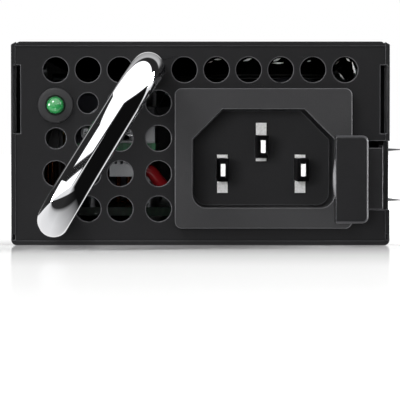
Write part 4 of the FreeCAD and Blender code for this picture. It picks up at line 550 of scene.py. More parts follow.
# the handle's feet and the light take the place of three vents, and the two nearest the light are smaller
vents = [(across, TOP_ROW, VENT) for step, across in enumerate(columns) if step != 3]
for column, across in enumerate(columns[:3] + [INNER_COLUMN]):
    for level in range(FIELD_ROWS):
        if (column, level) not in ((0, 0), (0, 3)):
            small = (column, level) in ((1, 0), (0, 1))
            vents.append((across, FIELD_ROW - level * VENT_ROW, SMALL_VENT if small else VENT))
vents += [(LIGHT_X, LIGHT_Z, BARREL), (*FOOT_LOW, FOOT_HOLE), (*FOOT_HIGH, FOOT_HOLE)]
half, notched = PLATE_HALF, PLATE_HALF - PLATE_LAP - EDGE_NOTCH
rim_line = [(-half, PLATE_LOW), (half, PLATE_LOW), (half, LATCH_LOW), (LATCH_LEFT, LATCH_LOW),
            (LATCH_LEFT, LATCH_HIGH), (half, LATCH_HIGH), (half, SLOT_LOW), (notched, SLOT_LOW),
            (notched, SLOT_HIGH), (half, SLOT_HIGH), (half, PLATE_HIGH), (-half, PLATE_HIGH),
            (-half, SLOT_HIGH), (-notched, SLOT_HIGH), (-notched, SLOT_LOW), (-half, SLOT_LOW)]
window = block(INLET_X - WINDOW_WIDE / 2, INLET_X + WINDOW_WIDE / 2,
               INLET_Z - WINDOW_TALL / 2, INLET_Z + WINDOW_TALL / 2)
face = punched(PLATE_FRONT, SHEET, PLATE_ROUND, [rim_line, window], vents, black_powder)
folds = [boxed((-RETURN_HALF, PLATE_FRONT + SHEET, low), (RETURN_HALF, RETURN_BACK, low + SHEET), edge=0.1)
         for low in (PLATE_LOW + PLATE_LAP, PLATE_HIGH - PLATE_LAP - SHEET)]
piece("face_sheet", merged(face, *folds), black_powder, "face_plate")


# ---- Handle: a 5.6 mm steel bar bent to a U, held by a pan-head screw in each end. Polished, then nickel
# and chromium plated, so it mirrors the room with hardly a scratch.
BAR_RADIUS, BEND, REACH = 2.81, 7.0, 23.92
BAR_SIDES, BEND_STEPS, BAR_SHARP = 64, 24, 40
chrome = finish("polished_chrome_plate", "#F0F0F2", "#E6E7EA", grain=0.8, patch=6, rough=0.02, depth=0.00003,
                spread=0.015, stretch=(4, 1, 4), skin={"Metallic": 1.0})


def panelled(work, rows, ring=True):
    """Faces between rows of vertices. The rows of a ring close on themselves."""
    for first, second in zip(rows, rows[1:]):
        for step in range(len(first) if ring else len(first) - 1):
            other = (step + 1) % len(first)
            corners = dict.fromkeys([first[step], first[other], second[other], second[step]])
            if len(corners) > 2:
                work.faces.new(corners)


def swept(line, across, radius, sides):
    """A round bar along spots and directions, closed at both ends."""
    work = bmesh.new()
    rings = []
    angles = [math.tau * step / sides for step in range(sides)]
    for spot, along in line:
        inward = across.cross(along).normalized()
        rings.append([work.verts.new(spot + (inward * math.cos(angle) + across * math.sin(angle)) * radius)
                      for angle in angles])
    panelled(work, rings)
    work.faces.new(rings[0])
    work.faces.new(rings[-1][::-1])
    return closed(work, "bar", outward=True)


low_foot, high_foot = (Vector((across, PLATE_FRONT, height)) * MM for across, height in (FOOT_LOW, FOOT_HIGH))
run, out = (high_foot - low_foot).normalized(), Vector((0, -1, 0))
line = [(low_foot, out)]
for foot, end in ((low_foot, -1), (high_foot, 1)):
    centre = foot - run * (end * BEND * MM) + out * ((REACH - BEND) * MM)
    arc = []
    for step in range(BEND_STEPS + 1):
        angle = QUARTER * step / BEND_STEPS
        spoke = run * (end * math.cos(angle)) + out * math.sin(angle)
        along = out * (-end * math.cos(angle)) + run * math.sin(angle)
        arc.append((centre + spoke * (BEND * MM), along))
    line += arc if end < 0 else arc[::-1]
line.append((high_foot, -out))
bar = smooth(swept(line, run.cross(out), BAR_RADIUS * MM, BAR_SIDES), BAR_SHARP)
piece("handle_bar", bar, chrome, "handle")
seats = [(across, PLATE_FRONT + SHEET, height) for across, height in (FOOT_LOW, FOOT_HIGH)]
screws("handle_pan_screws", "handle_screws", seats, REARWARD, zinc,
       head=2.55, under=2.6, tall=1.8, recess=2.8, shank=1.45, length=7.8)


# ---- AC inlet: glass-filled nylon moulding with a flat flange, let into the plate's window. Its flange is
# spark eroded, so it is a shade paler and sandier than the steel.
# its edges carry a painted highlight, paler than the nylon
nylon = finish("spark_eroded_nylon", "#29292A", "#2F2F30", grain=0.32, patch=9, rough=0.62, depth=0.02,
               skin={"Specular IOR Level": 0.13}, painted_edge_highlight="#505052")
dressed("inlet_shell", "inlet_body", nylon, edge=0.2, steps=3)


# ---- Contact blades: stamped brass, nickel plated, with a coined tip and a shoulder on the socket's floor.
# Tip and shoulder faces are painted pale as a highlight. The sheared flanks are painted dark as shade and
# mirror the black socket.
matt_nickel, tree = empty_material("matt_nickel_plate")
place = add(tree, "ShaderNodeTexCoord").outputs
facing = add(tree, "ShaderNodeSeparateXYZ", {"Vector": place["Normal"]}).outputs["Y"]
facing = add(tree, "ShaderNodeMath", {0: facing}, operation="ABSOLUTE")
flat = add(tree, "ShaderNodeMapRange", {"Value": facing, "From Min": 0.9, "From Max": 0.97})
grain = add(tree, "ShaderNodeTexNoise", {"Vector": place["Object"], "Scale": 1 / (0.4 * MM), "Detail": 3.0})
pale = add(tree, "ShaderNodeMixRGB", {"Fac": grain, "Color1": linear("#C4C4C2"), "Color2": WHITE})
# pale on faces that look along the case, dark on the flanks: a painted highlight and painted shade
painted_lit_faces = add(tree, "ShaderNodeMixRGB", {"Fac": flat, "Color1": linear("#4A4A4C"), "Color2": pale})
bare = add(tree, "ShaderNodeMapRange", {"Value": flat, "To Min": 1.0, "To Max": 0.1})
relief = add(tree, "ShaderNodeBump", {"Height": grain, "Distance": 0.02 * MM})
skin = add(tree, "ShaderNodeBsdfPrincipled", {
    "Base Color": painted_lit_faces, "Metallic": bare, "Roughness": 0.3, "Normal": relief})
add(tree, "ShaderNodeOutputMaterial", {"Surface": skin})
for node in ("inlet_line_pins", "inlet_earth_pin"):
    dressed(node + "_plated", node, matt_nickel, edge=0.07)


# ---- Status light: a green 3 mm lamp in a black push-in collar, on two sleeved leads. The lens is cast
# epoxy, glossy, with its die cup showing as a paler patch.
TURNED_SHARP = 35


def turned(name, centre, profile, count=64):
    """A solid of revolution along Y from radius and depth pairs in mm."""
    work = bmesh.new()
    rows = []
    for radius, depth in profile:
        spots = [(centre[0] + radius * math.cos(math.tau * step / count), depth,
                  centre[1] + radius * math.sin(math.tau * step / count)) for step in range(count)]
        if radius:
            rows.append([work.verts.new(Vector(spot) * MM) for spot in spots])
        else:
            rows.append([work.verts.new(Vector(spots[0]) * MM)] * count)
    panelled(work, rows)
    bmesh.ops.remove_doubles(work, verts=work.verts, dist=WELD / 2 * MM)
    return smooth(closed(work, name, outward=True), TURNED_SHARP)


DOME, STAND, COLLAR, COLLAR_PROUD, BARREL_BACK, DOME_STEPS = 1.5, 1.4, 3.1, 0.9, -85.7, 12
DOME_GAP, COLLAR_GAP, COLLAR_SEAT, COLLAR_CUT, COLLAR_ROUND = 0.06, 0.05, 0.01, 0.25, 0.35
# bottle green under a wet shine, with the faintest light of its own
green_epoxy = finish("clear_green_epoxy", "#0A5A26", "#2A8A4A", grain=0.7, patch=1.1, rough=0.14, depth=0.015,
                     skin={"Emission Color": linear("#2FA35A"), "Emission Strength": 0.04,
                           "Coat Weight": 1.0})
dome_base = PLATE_FRONT - STAND
angles = [QUARTER * step / DOME_STEPS for step in range(DOME_STEPS + 1)]
profile = [(DOME * math.sin(angle), dome_base - DOME * math.cos(angle)) for angle in angles]
profile += [(DOME, BARREL_BACK), (0, BARREL_BACK)]
piece("lens_dome", turned("dome", (LIGHT_X, LIGHT_Z), profile), green_epoxy, "led_lens")
# black with a low sheen
collar_nylon = finish("moulded_collar_nylon", "#1E1E1F", "#242425", grain=0.4, patch=3, rough=0.45,
                      depth=0.01, skin={"Specular IOR Level": 0.25})
front, bore = PLATE_FRONT - COLLAR_PROUD, DOME + DOME_GAP
barrel, seat = BARREL - COLLAR_GAP, PLATE_FRONT - COLLAR_SEAT
profile = [(bore, BARREL_BACK), (bore, front + COLLAR_CUT), (bore + COLLAR_CUT, front),
           (COLLAR - COLLAR_ROUND, front), (COLLAR - 0.1, front + 0.1), (COLLAR, front + COLLAR_ROUND),
           (COLLAR, seat), (barrel, seat), (barrel, BARREL_BACK), (bore, BARREL_BACK)]
collar = turned("collar", (LIGHT_X, LIGHT_Z), profile)
piece("light_collar", collar, collar_nylon, "led_holder")


# ---- Latch lever: one acetal moulding, with a thumb pad in front of the inlet's edge, an arm and a pivot
# knuckle. Satin from the mould, and glossy where the thumb pushes it.
# near black with a soft highlight, and a grey highlight painted along its edges
acetal = finish("satin_acetal", "#151516", "#1A1A1B", grain=0.5, patch=6, rough=0.33, depth=0.01,
                skin={"Specular IOR Level": 0.13}, painted_edge_highlight="#363638")
# the same plastic, painted pale as a highlight streak where the thumb rest catches the light
thumb_painted_highlight = finish("acetal_painted_thumb_highlight", "#8A8A8C", "#5E5E60", grain=0.4, patch=2, rough=0.22, depth=0.01)
PAD_LEFT, PAD_MIDDLE = 23.0, -98.1
THUMB_Z, THUMB_TALL, THUMB_DEEP, THUMB_PROUD, THUMB_SUNK = 11.65, 3.6, 1.5, 0.4, 0.03
THUMB_ROWS, THUMB_COLUMNS = 24, 10
TRIM_LOW, TRIM_HIGH = (31.2, -104, 3), (34, -84, 20)
work = bmesh.new()
grid = []
for row in range(THUMB_ROWS + 1):
    height = -1 + 2 * row / THUMB_ROWS
    cells = []
    for column in range(THUMB_COLUMNS + 1):
        deep = -1 + 2 * column / THUMB_COLUMNS
        swell = math.cos(QUARTER * height) * (1 - deep ** 4)
        spot = (PAD_LEFT + THUMB_SUNK - (THUMB_PROUD + THUMB_SUNK) * swell, PAD_MIDDLE + deep * THUMB_DEEP,
                THUMB_Z + height * THUMB_TALL)
        cells.append(work.verts.new(Vector(spot) * MM))
    grid.append(cells)
panelled(work, grid, ring=False)
bmesh.ops.contextual_create(work, geom=[edge for edge in work.edges if edge.is_boundary])
thumb = smooth(closed(work, "thumb", outward=True))
# the lever's outer side is trimmed flat at its front
lever = carved(welded("latch_lever"), boxed(TRIM_LOW, TRIM_HIGH))
piece("lever_moulding", broken(lever, width=0.2, steps=3), acetal, "latch_lever", "latch")
piece("lever_thumb_rest", thumb, thumb_painted_highlight, "latch_lever", "latch")


# ---- Catch, rivets, bracket and pivot: a spring steel pressing with two pointed ears, riveted to the arm,
# which turns on a pin in a folded bracket. Bare rolled steel with a fine grain, and zinc on the rest.
rolled_steel = finish("bare_rolled_steel", "#7A7A7C", "#646467", grain=0.3, patch=4, rough=0.36, depth=0.01,
                      stretch=(1, 4, 1), skin={"Metallic": 0.85})
EAR_ROOT, EAR_REACH, EAR_LOW, EAR_HIGH, EARS_MIDDLE, EAR_FULL = 32.9, 2.6, 7.7, 16.7, 12.0, 1.2
catch = welded("latch_catch")
# each ear is drawn out to a point
for vertex in catch.vertices:
    out = (vertex.co.x / MM - EAR_ROOT) / EAR_REACH
    if out > 0:
        middle = (EAR_LOW if vertex.co.z < EARS_MIDDLE * MM else EAR_HIGH) * MM
        vertex.co.z = middle + (vertex.co.z - middle) * (EAR_FULL - out)
piece("catch_pressing", broken(catch, width=0.05), rolled_steel, "latch_catch", "latch")
for node, body in (("latch_rivets", "latch"), ("latch_bracket", "case"), ("latch_pin", "case")):
    dressed(node + "_plated", node, zinc, edge=0.1, body=body)
spring = smooth(welded("latch_spring"), angle=65)
piece("torsion_spring", spring, rolled_steel, "latch_spring")


# ---- Main board: glass-epoxy laminate under green solder mask, with plated holes and copper tracks, on
# four zinc pillars. Its tongue carries hard gold fingers that slide into the server.
PAD_PITCH, TRACK_PITCH = 2.54, 1.27
# a wave texture turns through twenty radians in one unit
WAVE_SCALE = math.tau / 20


def solder_mask(name, resist, track):
    """Tinned holes on a grid here and there, and raised tracks of one direction, under a tinted resist."""
    made, tree = empty_material(name)
    place = add(tree, "ShaderNodeTexCoord").outputs["Object"]
    flat = add(tree, "ShaderNodeMapping", {"Vector": place, "Scale": (1, 1, 0)})
    cloud = add(tree, "ShaderNodeTexNoise", {"Vector": flat, "Scale": 1 / (9 * MM), "Detail": 1.0})
    dots = add(tree, "ShaderNodeTexVoronoi", {
        "Vector": flat, "Scale": 1 / (PAD_PITCH * MM), "Randomness": 0.0})
    hole = add(tree, "ShaderNodeMapRange", {"Value": dots, "From Min": 0.2, "From Max": 0.16})
    here = add(tree, "ShaderNodeMapRange", {"Value": cloud, "From Min": 0.5, "From Max": 0.52})
    pads = add(tree, "ShaderNodeMath", {0: hole, 1: here}, operation="MULTIPLY")
    tracks = add(tree, "ShaderNodeTexWave", {
        "Vector": flat, "Scale": WAVE_SCALE / (TRACK_PITCH * MM), "Distortion": 0.6, "Detail": 0.0})
    runs = add(tree, "ShaderNodeMapRange", {"Value": tracks, "From Min": 0.5, "From Max": 0.6})
    mask = add(tree, "ShaderNodeMixRGB", {"Fac": runs, "Color1": linear(resist), "Color2": linear(track)})
    tinned = add(tree, "ShaderNodeMixRGB", {"Fac": pads, "Color1": mask, "Color2": linear("#BFC0C0")})
    relief = add(tree, "ShaderNodeBump", {"Height": runs, "Distance": 0.03 * MM})
    skin = add(tree, "ShaderNodeBsdfPrincipled", {
        "Base Color": tinned, "Metallic": pads, "Roughness": 0.34, "Normal": relief})
    add(tree, "ShaderNodeOutputMaterial", {"Surface": skin})
    return made


# the filter board is a fresh dark green; the main board's resist is painted nearly black as shade, as it lies
# in the case's shade; both glint where they are tinned
board_green = solder_mask("green_solder_mask", "#143E26", "#1C5233")
board_painted_shade = solder_mask("green_solder_mask_painted_shade", "#07130C", "#0A1C11")
dressed("main_board_sheet", "main_board", board_painted_shade, edge=0.08)

tree, given = sized_tree("contact_fingers", {"Size": "Vector", "Material": "Material"})
plate = add(tree, "GeometryNodeMeshCube", {"Size": given["Size"]})
laid = add(tree, "GeometryNodeInstanceOnPoints", {"Points": given["Geometry"], "Instance": plate})
finger_tree = ended(tree, laid, given["Material"])
# warm yellow metal with fine wiping lines along each finger
hard_gold = finish("hard_gold_plate", "#E0B04C", "#CF9C3A", grain=0.3, patch=2, rough=0.24, depth=0.004,
                   stretch=(1, 0.2, 1), skin={"Metallic": 1.0})
FINGERS, FINGER_PITCH, FINGER_WIDE, FINGER_LONG, FINGER_SHEET, FINGER_Y = 10, 2.4, 1.5, 7.0, 0.06, 94.0
TONGUE_X, BOARD_LOW, BOARD_TOP = 17.5, 4.2, 5.8
BOARD_SCREW_X, BOARD_SCREWS_Y = 23.6, (-52.0, 66.15)
rows = [(TONGUE_X + (step - (FINGERS - 1) / 2) * FINGER_PITCH, FINGER_Y, level)
        for step in range(FINGERS) for level in (BOARD_LOW - FINGER_SHEET / 2, BOARD_TOP + FINGER_SHEET / 2)]
size = Vector((FINGER_WIDE, FINGER_LONG, FINGER_SHEET)) * MM
fingers = grown(finger_tree, dotted(rows), {"Size": size, "Material": hard_gold})
piece("gold_fingers", broken(fingers, width=0.02), None, "edge_contacts")
piece("board_pillars", smooth(welded("board_standoffs")), zinc, "board_standoffs")
seats = [(side * BOARD_SCREW_X, depth, BOARD_TOP) for side in (-1, 1) for depth in BOARD_SCREWS_Y]
screws("board_pan_screws", "board_screws", seats, UPWARD, zinc,
       head=1.9, under=2.2, tall=1.2, recess=2.4, shank=1.15, length=4.15, edge=0.25)


# ---- Rear panel, fan and guard: a punched and coated steel sheet, a 33 mm fan of glass-filled polyester
# whose seven blades turn in it, and a stamped guard under four screws.
FAN_X, FAN_Z, FAN_BORE, FAN_HOLE, SCREW_REACH = -15.75, 17.25, 15.2, 1.35, 14.0
PANEL_FRONT, REAR_COLUMNS, REAR_ROWS, REAR_TOP, REAR_ROUND = 89.2, 4, 3, 27.875, 0.12
TONGUE_HALF, TONGUE_GAP, GUARD_BACK, FAN_SHARP = 12.85, 0.35, 90.9, 40
LIP_LEFT, LIP_RIGHT, LIP_FRONT, LIP_TOP = FAN_X + 16.75, 32.15, 81.2, PLATE_HIGH - 0.05
fan_corners = [(FAN_X + a * SCREW_REACH, FAN_Z + b * SCREW_REACH) for a in (-1, 1) for b in (-1, 1)]
holes = [(FAN_X, FAN_Z, FAN_BORE)] + [(*corner, FAN_HOLE) for corner in fan_corners]
holes += [(TONGUE_X + (column - (REAR_COLUMNS - 1) / 2) * VENT_PITCH, REAR_TOP - row * VENT_ROW, VENT)
          for column in range(REAR_COLUMNS) for row in range(REAR_ROWS)]
rear_line = block(-PLATE_HALF, PLATE_HALF, PLATE_LOW, PLATE_HIGH)
tongue_slot = block(TONGUE_X - TONGUE_HALF, TONGUE_X + TONGUE_HALF,
                    BOARD_LOW - TONGUE_GAP, BOARD_TOP + TONGUE_GAP)
panel = punched(PANEL_FRONT, SHEET, REAR_ROUND, [rear_line, tongue_slot], holes, black_powder)
lip = boxed((LIP_LEFT, LIP_FRONT, LIP_TOP - SHEET), (LIP_RIGHT, PANEL_FRONT, LIP_TOP), edge=0.1)
piece("rear_sheet", merged(panel, lip), black_powder, "rear_panel")
# a dry, even black, a little glossier than the coat
polyester = finish("glass_filled_polyester", "#1D1D1F", "#232325", grain=0.4, patch=7, rough=0.42,
                   depth=0.012)
dressed("fan_housing", "fan_frame", polyester, edge=0.2)
piece("fan_wheel", smooth(welded("fan_rotor"), FAN_SHARP), polyester, "fan_rotor", "rotor")
dressed("guard_pressing", "fan_guard", zinc, edge=0.18)
seats = [(across, GUARD_BACK, height) for across, height in fan_corners]
screws("fan_pan_screws", "fan_screws", seats, REARWARD, zinc,
       head=2.3, under=2.6, tall=1.8, recess=2.9, shank=1.3, length=9.2)


# ---- Mains filter: a small board behind the left vents, with a film capacitor under a screwed clamp, a
# nylon connector below, and a fuse and leads. Grey box plastic, brushed clamp, glossy insulation.
dressed("filter_board_sheet", "filter_board", board_green, edge=0.06)
piece("filter_pillars", smooth(welded("filter_posts")), zinc, "filter_posts")
# a flat mid grey beside a flat black, both from textured moulds
grey_box = finish("grey_box_plastic", "#7A7B7D", "#6E6F71", grain=0.4, patch=4, rough=0.5, depth=0.015)
black_box = finish("black_box_plastic", "#19191B", "#222224", grain=0.4, patch=4, rough=0.55, depth=0.015,
                   skin={"Specular IOR Level": 0.2})
dressed("film_capacitor", "x_capacitor", black_box, edge=0.25, steps=3)
# brushed from side to side, so its grey breaks into fine level lines
brushed = finish("brushed_aluminium", "#858688", "#727375", grain=0.6, patch=3, rough=0.4, depth=0.02,
                 stretch=(0.15, 1, 6), skin={"Metallic": 0.15})
CLAMP_TRIM_LOW, CLAMP_TRIM_HIGH, CLAMP_ROUND = (-9.6, -90, 21.4), (-7, -50, 26), 0.12
# the clamp's upper corner is cut away on its right
clamp = carved(welded("filter_clamp"), boxed(CLAMP_TRIM_LOW, CLAMP_TRIM_HIGH))
piece("clamp_pressing", broken(clamp, CLAMP_ROUND), brushed, "filter_clamp")
# zinc gone dull: grey with a soft light on the crown of each head
dull_zinc = finish("dull_zinc_plate", "#B5B6B8", "#98999B", grain=0.25, patch=2, rough=0.4, depth=0.008,
                   skin={"Metallic": 0.3})
CLAMP_SCREWS_X, CLAMP_FRONT, CLAMP_SCREW_Z = (-19.4, -13.2), -82.8, 19.7
seats = [(across, CLAMP_FRONT, CLAMP_SCREW_Z) for across in CLAMP_SCREWS_X]
screws("clamp_pan_screws", "clamp_screws", seats, FRONTWARD, dull_zinc,
       head=1.6, under=1.83, tall=1.3, recess=2.3, shank=0.8, length=0.6)
# the housing's top rim is notched between its four pins
NOTCH_LOW, NOTCH_TOP, NOTCH_FRONT, NOTCH_BACK = 14.15, 15, -86, -78
NOTCH_SIDES = ((-16.1, -15.8), (-15.15, -14.75), (-14.1, -13.7), (-13.05, -12.65), (-12.0, -11.7))
notches = [boxed((left, NOTCH_FRONT, NOTCH_LOW), (right, NOTCH_BACK, NOTCH_TOP))
           for left, right in NOTCH_SIDES]
housing = carved(welded("wire_connector"), *notches)
piece("connector_block", broken(housing, width=0.08), grey_box, "wire_connector")
# soft silver, paler than zinc
tin = finish("tinned_copper", "#C9C9C6", "#B3B3B0", grain=0.2, patch=1, rough=0.3, depth=0.006,
             skin={"Metallic": 1.0})
dressed("connector_pins_tinned", "connector_pins", tin, edge=0.05)
# shrunk rubbery black that hides the leads
sleeving = finish("black_heat_shrink_sleeving", "#161618", "#1F1F21", grain=0.5, patch=2, rough=0.5,
                  depth=0.01)
dressed("lamp_lead_sleeves", "led_leads", sleeving, edge=0.05)
FUSE_X, FUSE_Z, FUSE_RADIUS, FUSE_FRONT, FUSE_BACK, FUSE_CAP = -2.7, 8.4, 2.6, -52.0, -32.0, 5.0
TUBE_SHORT, TUBE_SLIM, CAP_ROUND, CAP_WALL, FUSE_SIDES = 0.5, 0.2, 0.25, 0.22, 40
# ivory ceramic with a glassy skin
steatite = finish("glazed_steatite", "#E9E4D8", "#DDD6C6", grain=0.5, patch=4, rough=0.3, depth=0.008)
tube, front, back = FUSE_RADIUS - TUBE_SLIM, FUSE_FRONT + TUBE_SHORT, FUSE_BACK - TUBE_SHORT
profile = [(0, front), (tube, front), (tube, back), (0, back)]
piece("fuse_tube", turned("tube", (FUSE_X, FUSE_Z), profile, FUSE_SIDES), steatite, "fuse")
caps = []
bore = FUSE_RADIUS - CAP_WALL
for end, inward in ((FUSE_FRONT, 1), (FUSE_BACK, -1)):
    rim, shoulder, floor = end + inward * FUSE_CAP, end + inward * CAP_ROUND, end + 3 * inward * CAP_ROUND
    profile = [(0, end), (FUSE_RADIUS - CAP_ROUND, end), (FUSE_RADIUS, shoulder), (FUSE_RADIUS, rim),
               (bore, rim), (bore, floor), (0, floor)]
    caps.append(turned("cap", (FUSE_X, FUSE_Z), profile, FUSE_SIDES))
# as on the blades, the caps' end faces are painted pale as a highlight and their sides dark as shade
piece("fuse_caps", merged(*caps), matt_nickel, "fuse")
WIRE_SHARP = 50
# drawn PVC: smooth and saturated, with a long highlight
# the red jacket is drawn dark as painted shade, where the wire lies inside the case
for node, name, base, second, slot in (
        ("line_wire", "red_pvc_insulation", "#6E0E13", "#5A0B0F", "wire_red"),
        ("neutral_wire", "black_pvc_insulation", "#1B1B1D", "#232326", "wire_black"),
        ("earth_wire", "green_pvc_insulation", "#1F6B34", "#2A7C3F", "wire_green")):
    jacket = finish(name, base, second, grain=0.8, patch=5, rough=0.3, depth=0.01, skin={"Coat Weight": 0.3})
    piece(node + "_jacket", smooth(welded(node), WIRE_SHARP), jacket, node)


# ---- Power stage: two storage cans, a copper-wound choke, a taped transformer, transistors on finned
# extrusions, a rectifier and six output cans. Sleeve, enamel, ferrite, tape, epoxy and bare aluminium.
# heat-shrunk film: black with a tight, slightly wavy shine
sleeve_black = finish("shrunk_sleeve_pvc", "#17181C", "#1E1F24", grain=1.2, patch=9, rough=0.28, depth=0.02)
# as extruded: silver with die lines drawn up and down
aluminium = finish("mill_aluminium", "#B9BABC", "#A3A4A6", grain=0.5, patch=5, rough=0.36, depth=0.012,
                   stretch=(1, 1, 0.2), skin={"Metallic": 1.0})
dressed("storage_cans", "bulk_capacitors", sleeve_black, edge=0.5, steps=3)
# charcoal, matt and faintly grainy
epoxy = finish("moulded_epoxy", "#18181A", "#202022", grain=0.3, patch=3, rough=0.55, depth=0.02)
for node in ("primary_heatsink", "secondary_heatsink"):
    dressed(node + "_extrusion", node, aluminium)
for node in ("power_transistors", "output_transistors", "bridge_rectifier"):
    dressed(node + "_moulding", node, epoxy)
# slate grey and stony, with no highlight
sintered = finish("sintered_ferrite", "#34343A", "#2A2A2F", grain=0.4, patch=3, rough=0.6, depth=0.03)
for node in ("boost_choke_core", "transformer_core"):
    dressed(node + "_ferrite", node, sintered, edge=0.3)

RING_STEPS, CORNER_STEPS, WIRE_SIDES = 96, 4, 8
tree, given = sized_tree("ring_core_turns", {
    "Turns": "Int", "Ring Radius": "Float", "Width": "Float", "Height": "Float", "Corner": "Float",
    "Wire Radius": "Float", "Material": "Material"})
ring = add(tree, "GeometryNodeCurvePrimitiveCircle", {
    "Resolution": RING_STEPS, "Radius": given["Ring Radius"]})
spots = add(tree, "GeometryNodeCurveToPoints", {"Curve": ring, "Count": given["Turns"]}, mode="COUNT").outputs
loop = add(tree, "GeometryNodeCurvePrimitiveQuadrilateral", {
    "Width": given["Width"], "Height": given["Height"]})
loop = add(tree, "GeometryNodeFilletCurve", {
    "Curve": loop, "Count": CORNER_STEPS, "Radius": given["Corner"]}, mode="POLY")
wire = add(tree, "GeometryNodeCurvePrimitiveCircle", {
    "Resolution": WIRE_SIDES, "Radius": given["Wire Radius"]})
loop = add(tree, "GeometryNodeCurveToMesh", {"Curve": loop, "Profile Curve": wire})
wound = add(tree, "GeometryNodeInstanceOnPoints", {
    "Points": spots["Points"], "Instance": loop, "Rotation": spots["Rotation"]})
turns_tree = ended(tree, wound, given["Material"])
# lacquered copper: dark orange metal under a clear gloss
enamel = finish("enamelled_copper", "#8A4A24", "#743C18", grain=0.5, patch=4, rough=0.25, depth=0.004,
                skin={"Metallic": 0.9, "Coat Weight": 0.6})
CHOKE_PLACE, TURNS, RING, WIRE, WINDING_SHARP = Vector((-20.8, -34.0, 10.4)), 24, 6.75, 0.5, 80
TURN_WIDE, TURN_TALL, TURN_CORNER = 5.6, 8.1, 0.8
winding = grown(turns_tree, dotted([(0, 0, 0)]), {
    "Turns": TURNS, "Ring Radius": RING * MM, "Width": TURN_WIDE * MM, "Height": TURN_TALL * MM,
    "Corner": TURN_CORNER * MM, "Wire Radius": WIRE * MM, "Material": enamel})
winding.transform(Matrix.Translation(CHOKE_PLACE * MM))
piece("choke_turns", smooth(winding, WINDING_SHARP), None, "boost_choke_winding")
# amber film in bands, with the glint of a smooth backing
tape = finish("yellow_polyester_tape", "#D9A92B", "#C99A24", grain=0.8, patch=5, rough=0.3, depth=0.02,
              stretch=(0.2, 0.2, 3))
dressed("taped_winding", "transformer_winding", tape, edge=0.3)

CAN_SIDES = 48
tree, given = sized_tree("upright_cans", {
    "Radius": "Float", "Height": "Float", "Lip": "Float", "Sleeve": "Material", "Top": "Material"})
half = add(tree, "ShaderNodeMath", {0: given["Height"], 1: 0.5}, operation="MULTIPLY")
sink = add(tree, "ShaderNodeMath", {0: half, 1: given["Lip"]}, operation="SUBTRACT")
inner = add(tree, "ShaderNodeMath", {0: given["Radius"], 1: given["Lip"]}, operation="SUBTRACT")
up = add(tree, "ShaderNodeCombineXYZ", {"Z": half})
tube = add(tree, "GeometryNodeMeshCylinder", {
    "Vertices": CAN_SIDES, "Radius": given["Radius"], "Depth": given["Height"]})
plug = add(tree, "GeometryNodeMeshCylinder", {"Vertices": CAN_SIDES, "Radius": inner, "Depth": given["Lip"]})
well = add(tree, "GeometryNodeTransform", {"Geometry": plug, "Translation": up})
tube = add(tree, "GeometryNodeMeshBoolean", {"Mesh 1": tube, "Mesh 2": well}, operation="DIFFERENCE")
tube = add(tree, "GeometryNodeSetMaterial", {"Geometry": tube, "Material": given["Sleeve"]})
lower = add(tree, "ShaderNodeCombineXYZ", {"Z": sink})
disc = add(tree, "GeometryNodeTransform", {"Geometry": plug, "Translation": lower})
disc = add(tree, "GeometryNodeSetMaterial", {"Geometry": disc, "Material": given["Top"]})
can = add(tree, "GeometryNodeJoinGeometry", {"Geometry": [tube, disc]})
can = add(tree, "GeometryNodeTransform", {"Geometry": can, "Translation": up})
stood = add(tree, "GeometryNodeInstanceOnPoints", {"Points": given["Geometry"], "Instance": can})
can_tree = ended(tree, stood)
CAN_RADIUS, CAN_TALL, CAN_LIP, CAN_PITCH, CAN_RIGHT, CAN_BACK = 4.0, 20.0, 0.5, 8.8, 16.8, 68.15
CAN_ROWS, CAN_COLUMNS = 2, 3
seats = [(CAN_RIGHT - row * CAN_PITCH, CAN_BACK - column * CAN_PITCH, BOARD_TOP)
         for row in range(CAN_ROWS) for column in range(CAN_COLUMNS)]
cans = grown(can_tree, dotted(seats), {
    "Radius": CAN_RADIUS * MM, "Height": CAN_TALL * MM, "Lip": CAN_LIP * MM,
    "Sleeve": sleeve_black, "Top": aluminium})
piece("output_cans", broken(cans, width=0.15), None, "output_capacitors")


# ---- Insulating film: a sheet of thin polyester under the lid, cut with shears, tinted grey as painted shade. Its front edge
# is bent down and crumpled, and its creases, painted white as glints, show through the top vents.
FILM_LEFT, FILM_RIGHT, FILM_FRONT, FILM_BACK, FILM_TOP, FILM_SHEET = -31.25, 31.25, -80.85, 74.1, 34.68, 0.1
FILM_COLUMNS, FILM_ROWS, LIP_ROWS, FILM_SHARP = 60, 12, 4, 60
BENT_DEEP, HANG, TAB_HANG, TAB_X, TAB_HALF, WAVE_DEEP, WAVE_RATE = 0.5, 1.9, 3.8, 26.0, 3.5, 0.12, 1.7
# a grey tint over what shows behind it, painted shade, with hardly a shine of its own
film_painted_shade, tree = empty_material("polyester_film_painted_shade")
place = add(tree, "ShaderNodeTexCoord").outputs["Object"]
dust = add(tree, "ShaderNodeTexNoise", {"Vector": place, "Scale": 1 / (3 * MM), "Detail": 3.0})
haze = add(tree, "ShaderNodeMapRange", {"Value": dust, "To Max": 0.002})
clear = add(tree, "ShaderNodeBsdfTransparent", {"Color": linear("#8C8C8C")})
gloss = add(tree, "ShaderNodeBsdfGlossy", {"Color": WHITE, "Roughness": 0.1})
seen = add(tree, "ShaderNodeMixShader", {"Fac": haze, 1: clear, 2: gloss})
add(tree, "ShaderNodeOutputMaterial", {"Surface": seen})
# white along each crease: a painted glint where the crumpled film catches the light
crease_painted_glint = finish("crease_painted_glint_white", "#FFFFFF", "#E8EAEA", grain=0.3, patch=1, rough=0.3, depth=0.01)
bent = FILM_FRONT + BENT_DEEP
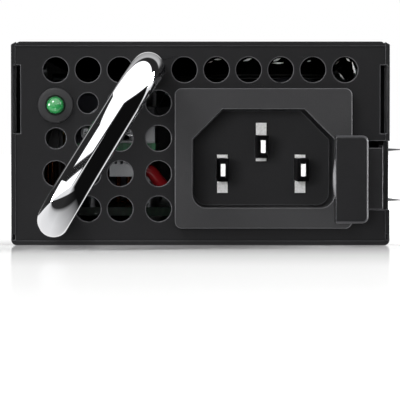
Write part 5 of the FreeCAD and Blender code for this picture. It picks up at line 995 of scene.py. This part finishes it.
# the bent lip ripples, and it hangs lowest in a tab near its right end
work = bmesh.new()
grid = []
for row in range(LIP_ROWS + FILM_ROWS + 1):
    cells = []
    for column in range(FILM_COLUMNS + 1):
        across = FILM_LEFT + (FILM_RIGHT - FILM_LEFT) * column / FILM_COLUMNS
        drop = HANG + TAB_HANG * max(0.0, 1 - abs(across - TAB_X) / TAB_HALF)
        hang = drop * max(0.0, 1 - row / LIP_ROWS)
        ripple = WAVE_DEEP * math.sin(across * WAVE_RATE) * hang
        depth = bent + ripple + (FILM_BACK - bent) * max(0, row - LIP_ROWS) / FILM_ROWS
        cells.append(work.verts.new(Vector((across, depth, FILM_TOP - hang)) * MM))
    grid.append(cells)
panelled(work, grid, ring=False)
film = applied(closed(work, "film"), ("SOLIDIFY", {"thickness": FILM_SHEET * MM, "offset": -1}))
piece("film_sheet", smooth(film, FILM_SHARP), film_painted_shade, "insulating_film")
# each crease is a tapered ridge that stands off the lip: its two ends and its width
creases = [((2.4, 32.7), (3.8, 32.75), 0.3), ((1.4, 32.1), (2.3, 32.45), 0.18),
           ((7.6, 32.4), (9.3, 32.95), 0.42), ((12.9, 32.35), (14.4, 33.0), 0.42),
           ((12.7, 32.05), (14.9, 32.1), 0.3), ((19.0, 32.35), (19.7, 32.5), 0.28),
           ((25.9, 33.0), (26.7, 32.3), 0.4), ((27.0, 32.4), (27.75, 29.7), 0.4),
           ((24.8, 30.3), (25.6, 29.0), 0.25), ((24.1, 31.8), (24.9, 32.6), 0.16)]
RIDGE_DEEP, RIDGE_PROUD, RIDGE_SUNK = 0.3, 0.12, 0.25
ridges = bmesh.new()
for start, end, wide in creases:
    start, end = (Vector((across, FILM_FRONT + RIDGE_DEEP, height)) for across, height in (start, end))
    side = (end - start).cross(Vector((0, 1, 0))).normalized() * (wide / 2)
    middle = (start + end) / 2
    tips = [ridges.verts.new(spot * MM) for spot in (start, middle + side, end, middle - side)]
    crown, root = (ridges.verts.new((middle + Vector((0, deep, 0))) * MM)
                   for deep in (-RIDGE_PROUD, RIDGE_SUNK))
    for tip, after in zip(tips, tips[1:] + tips[:1]):
        ridges.faces.new([tip, after, crown])
        ridges.faces.new([after, tip, root])
folded = smooth(closed(ridges, "creases", outward=True), FILM_SHARP)
piece("film_creases", folded, crease_painted_glint, "insulating_film")
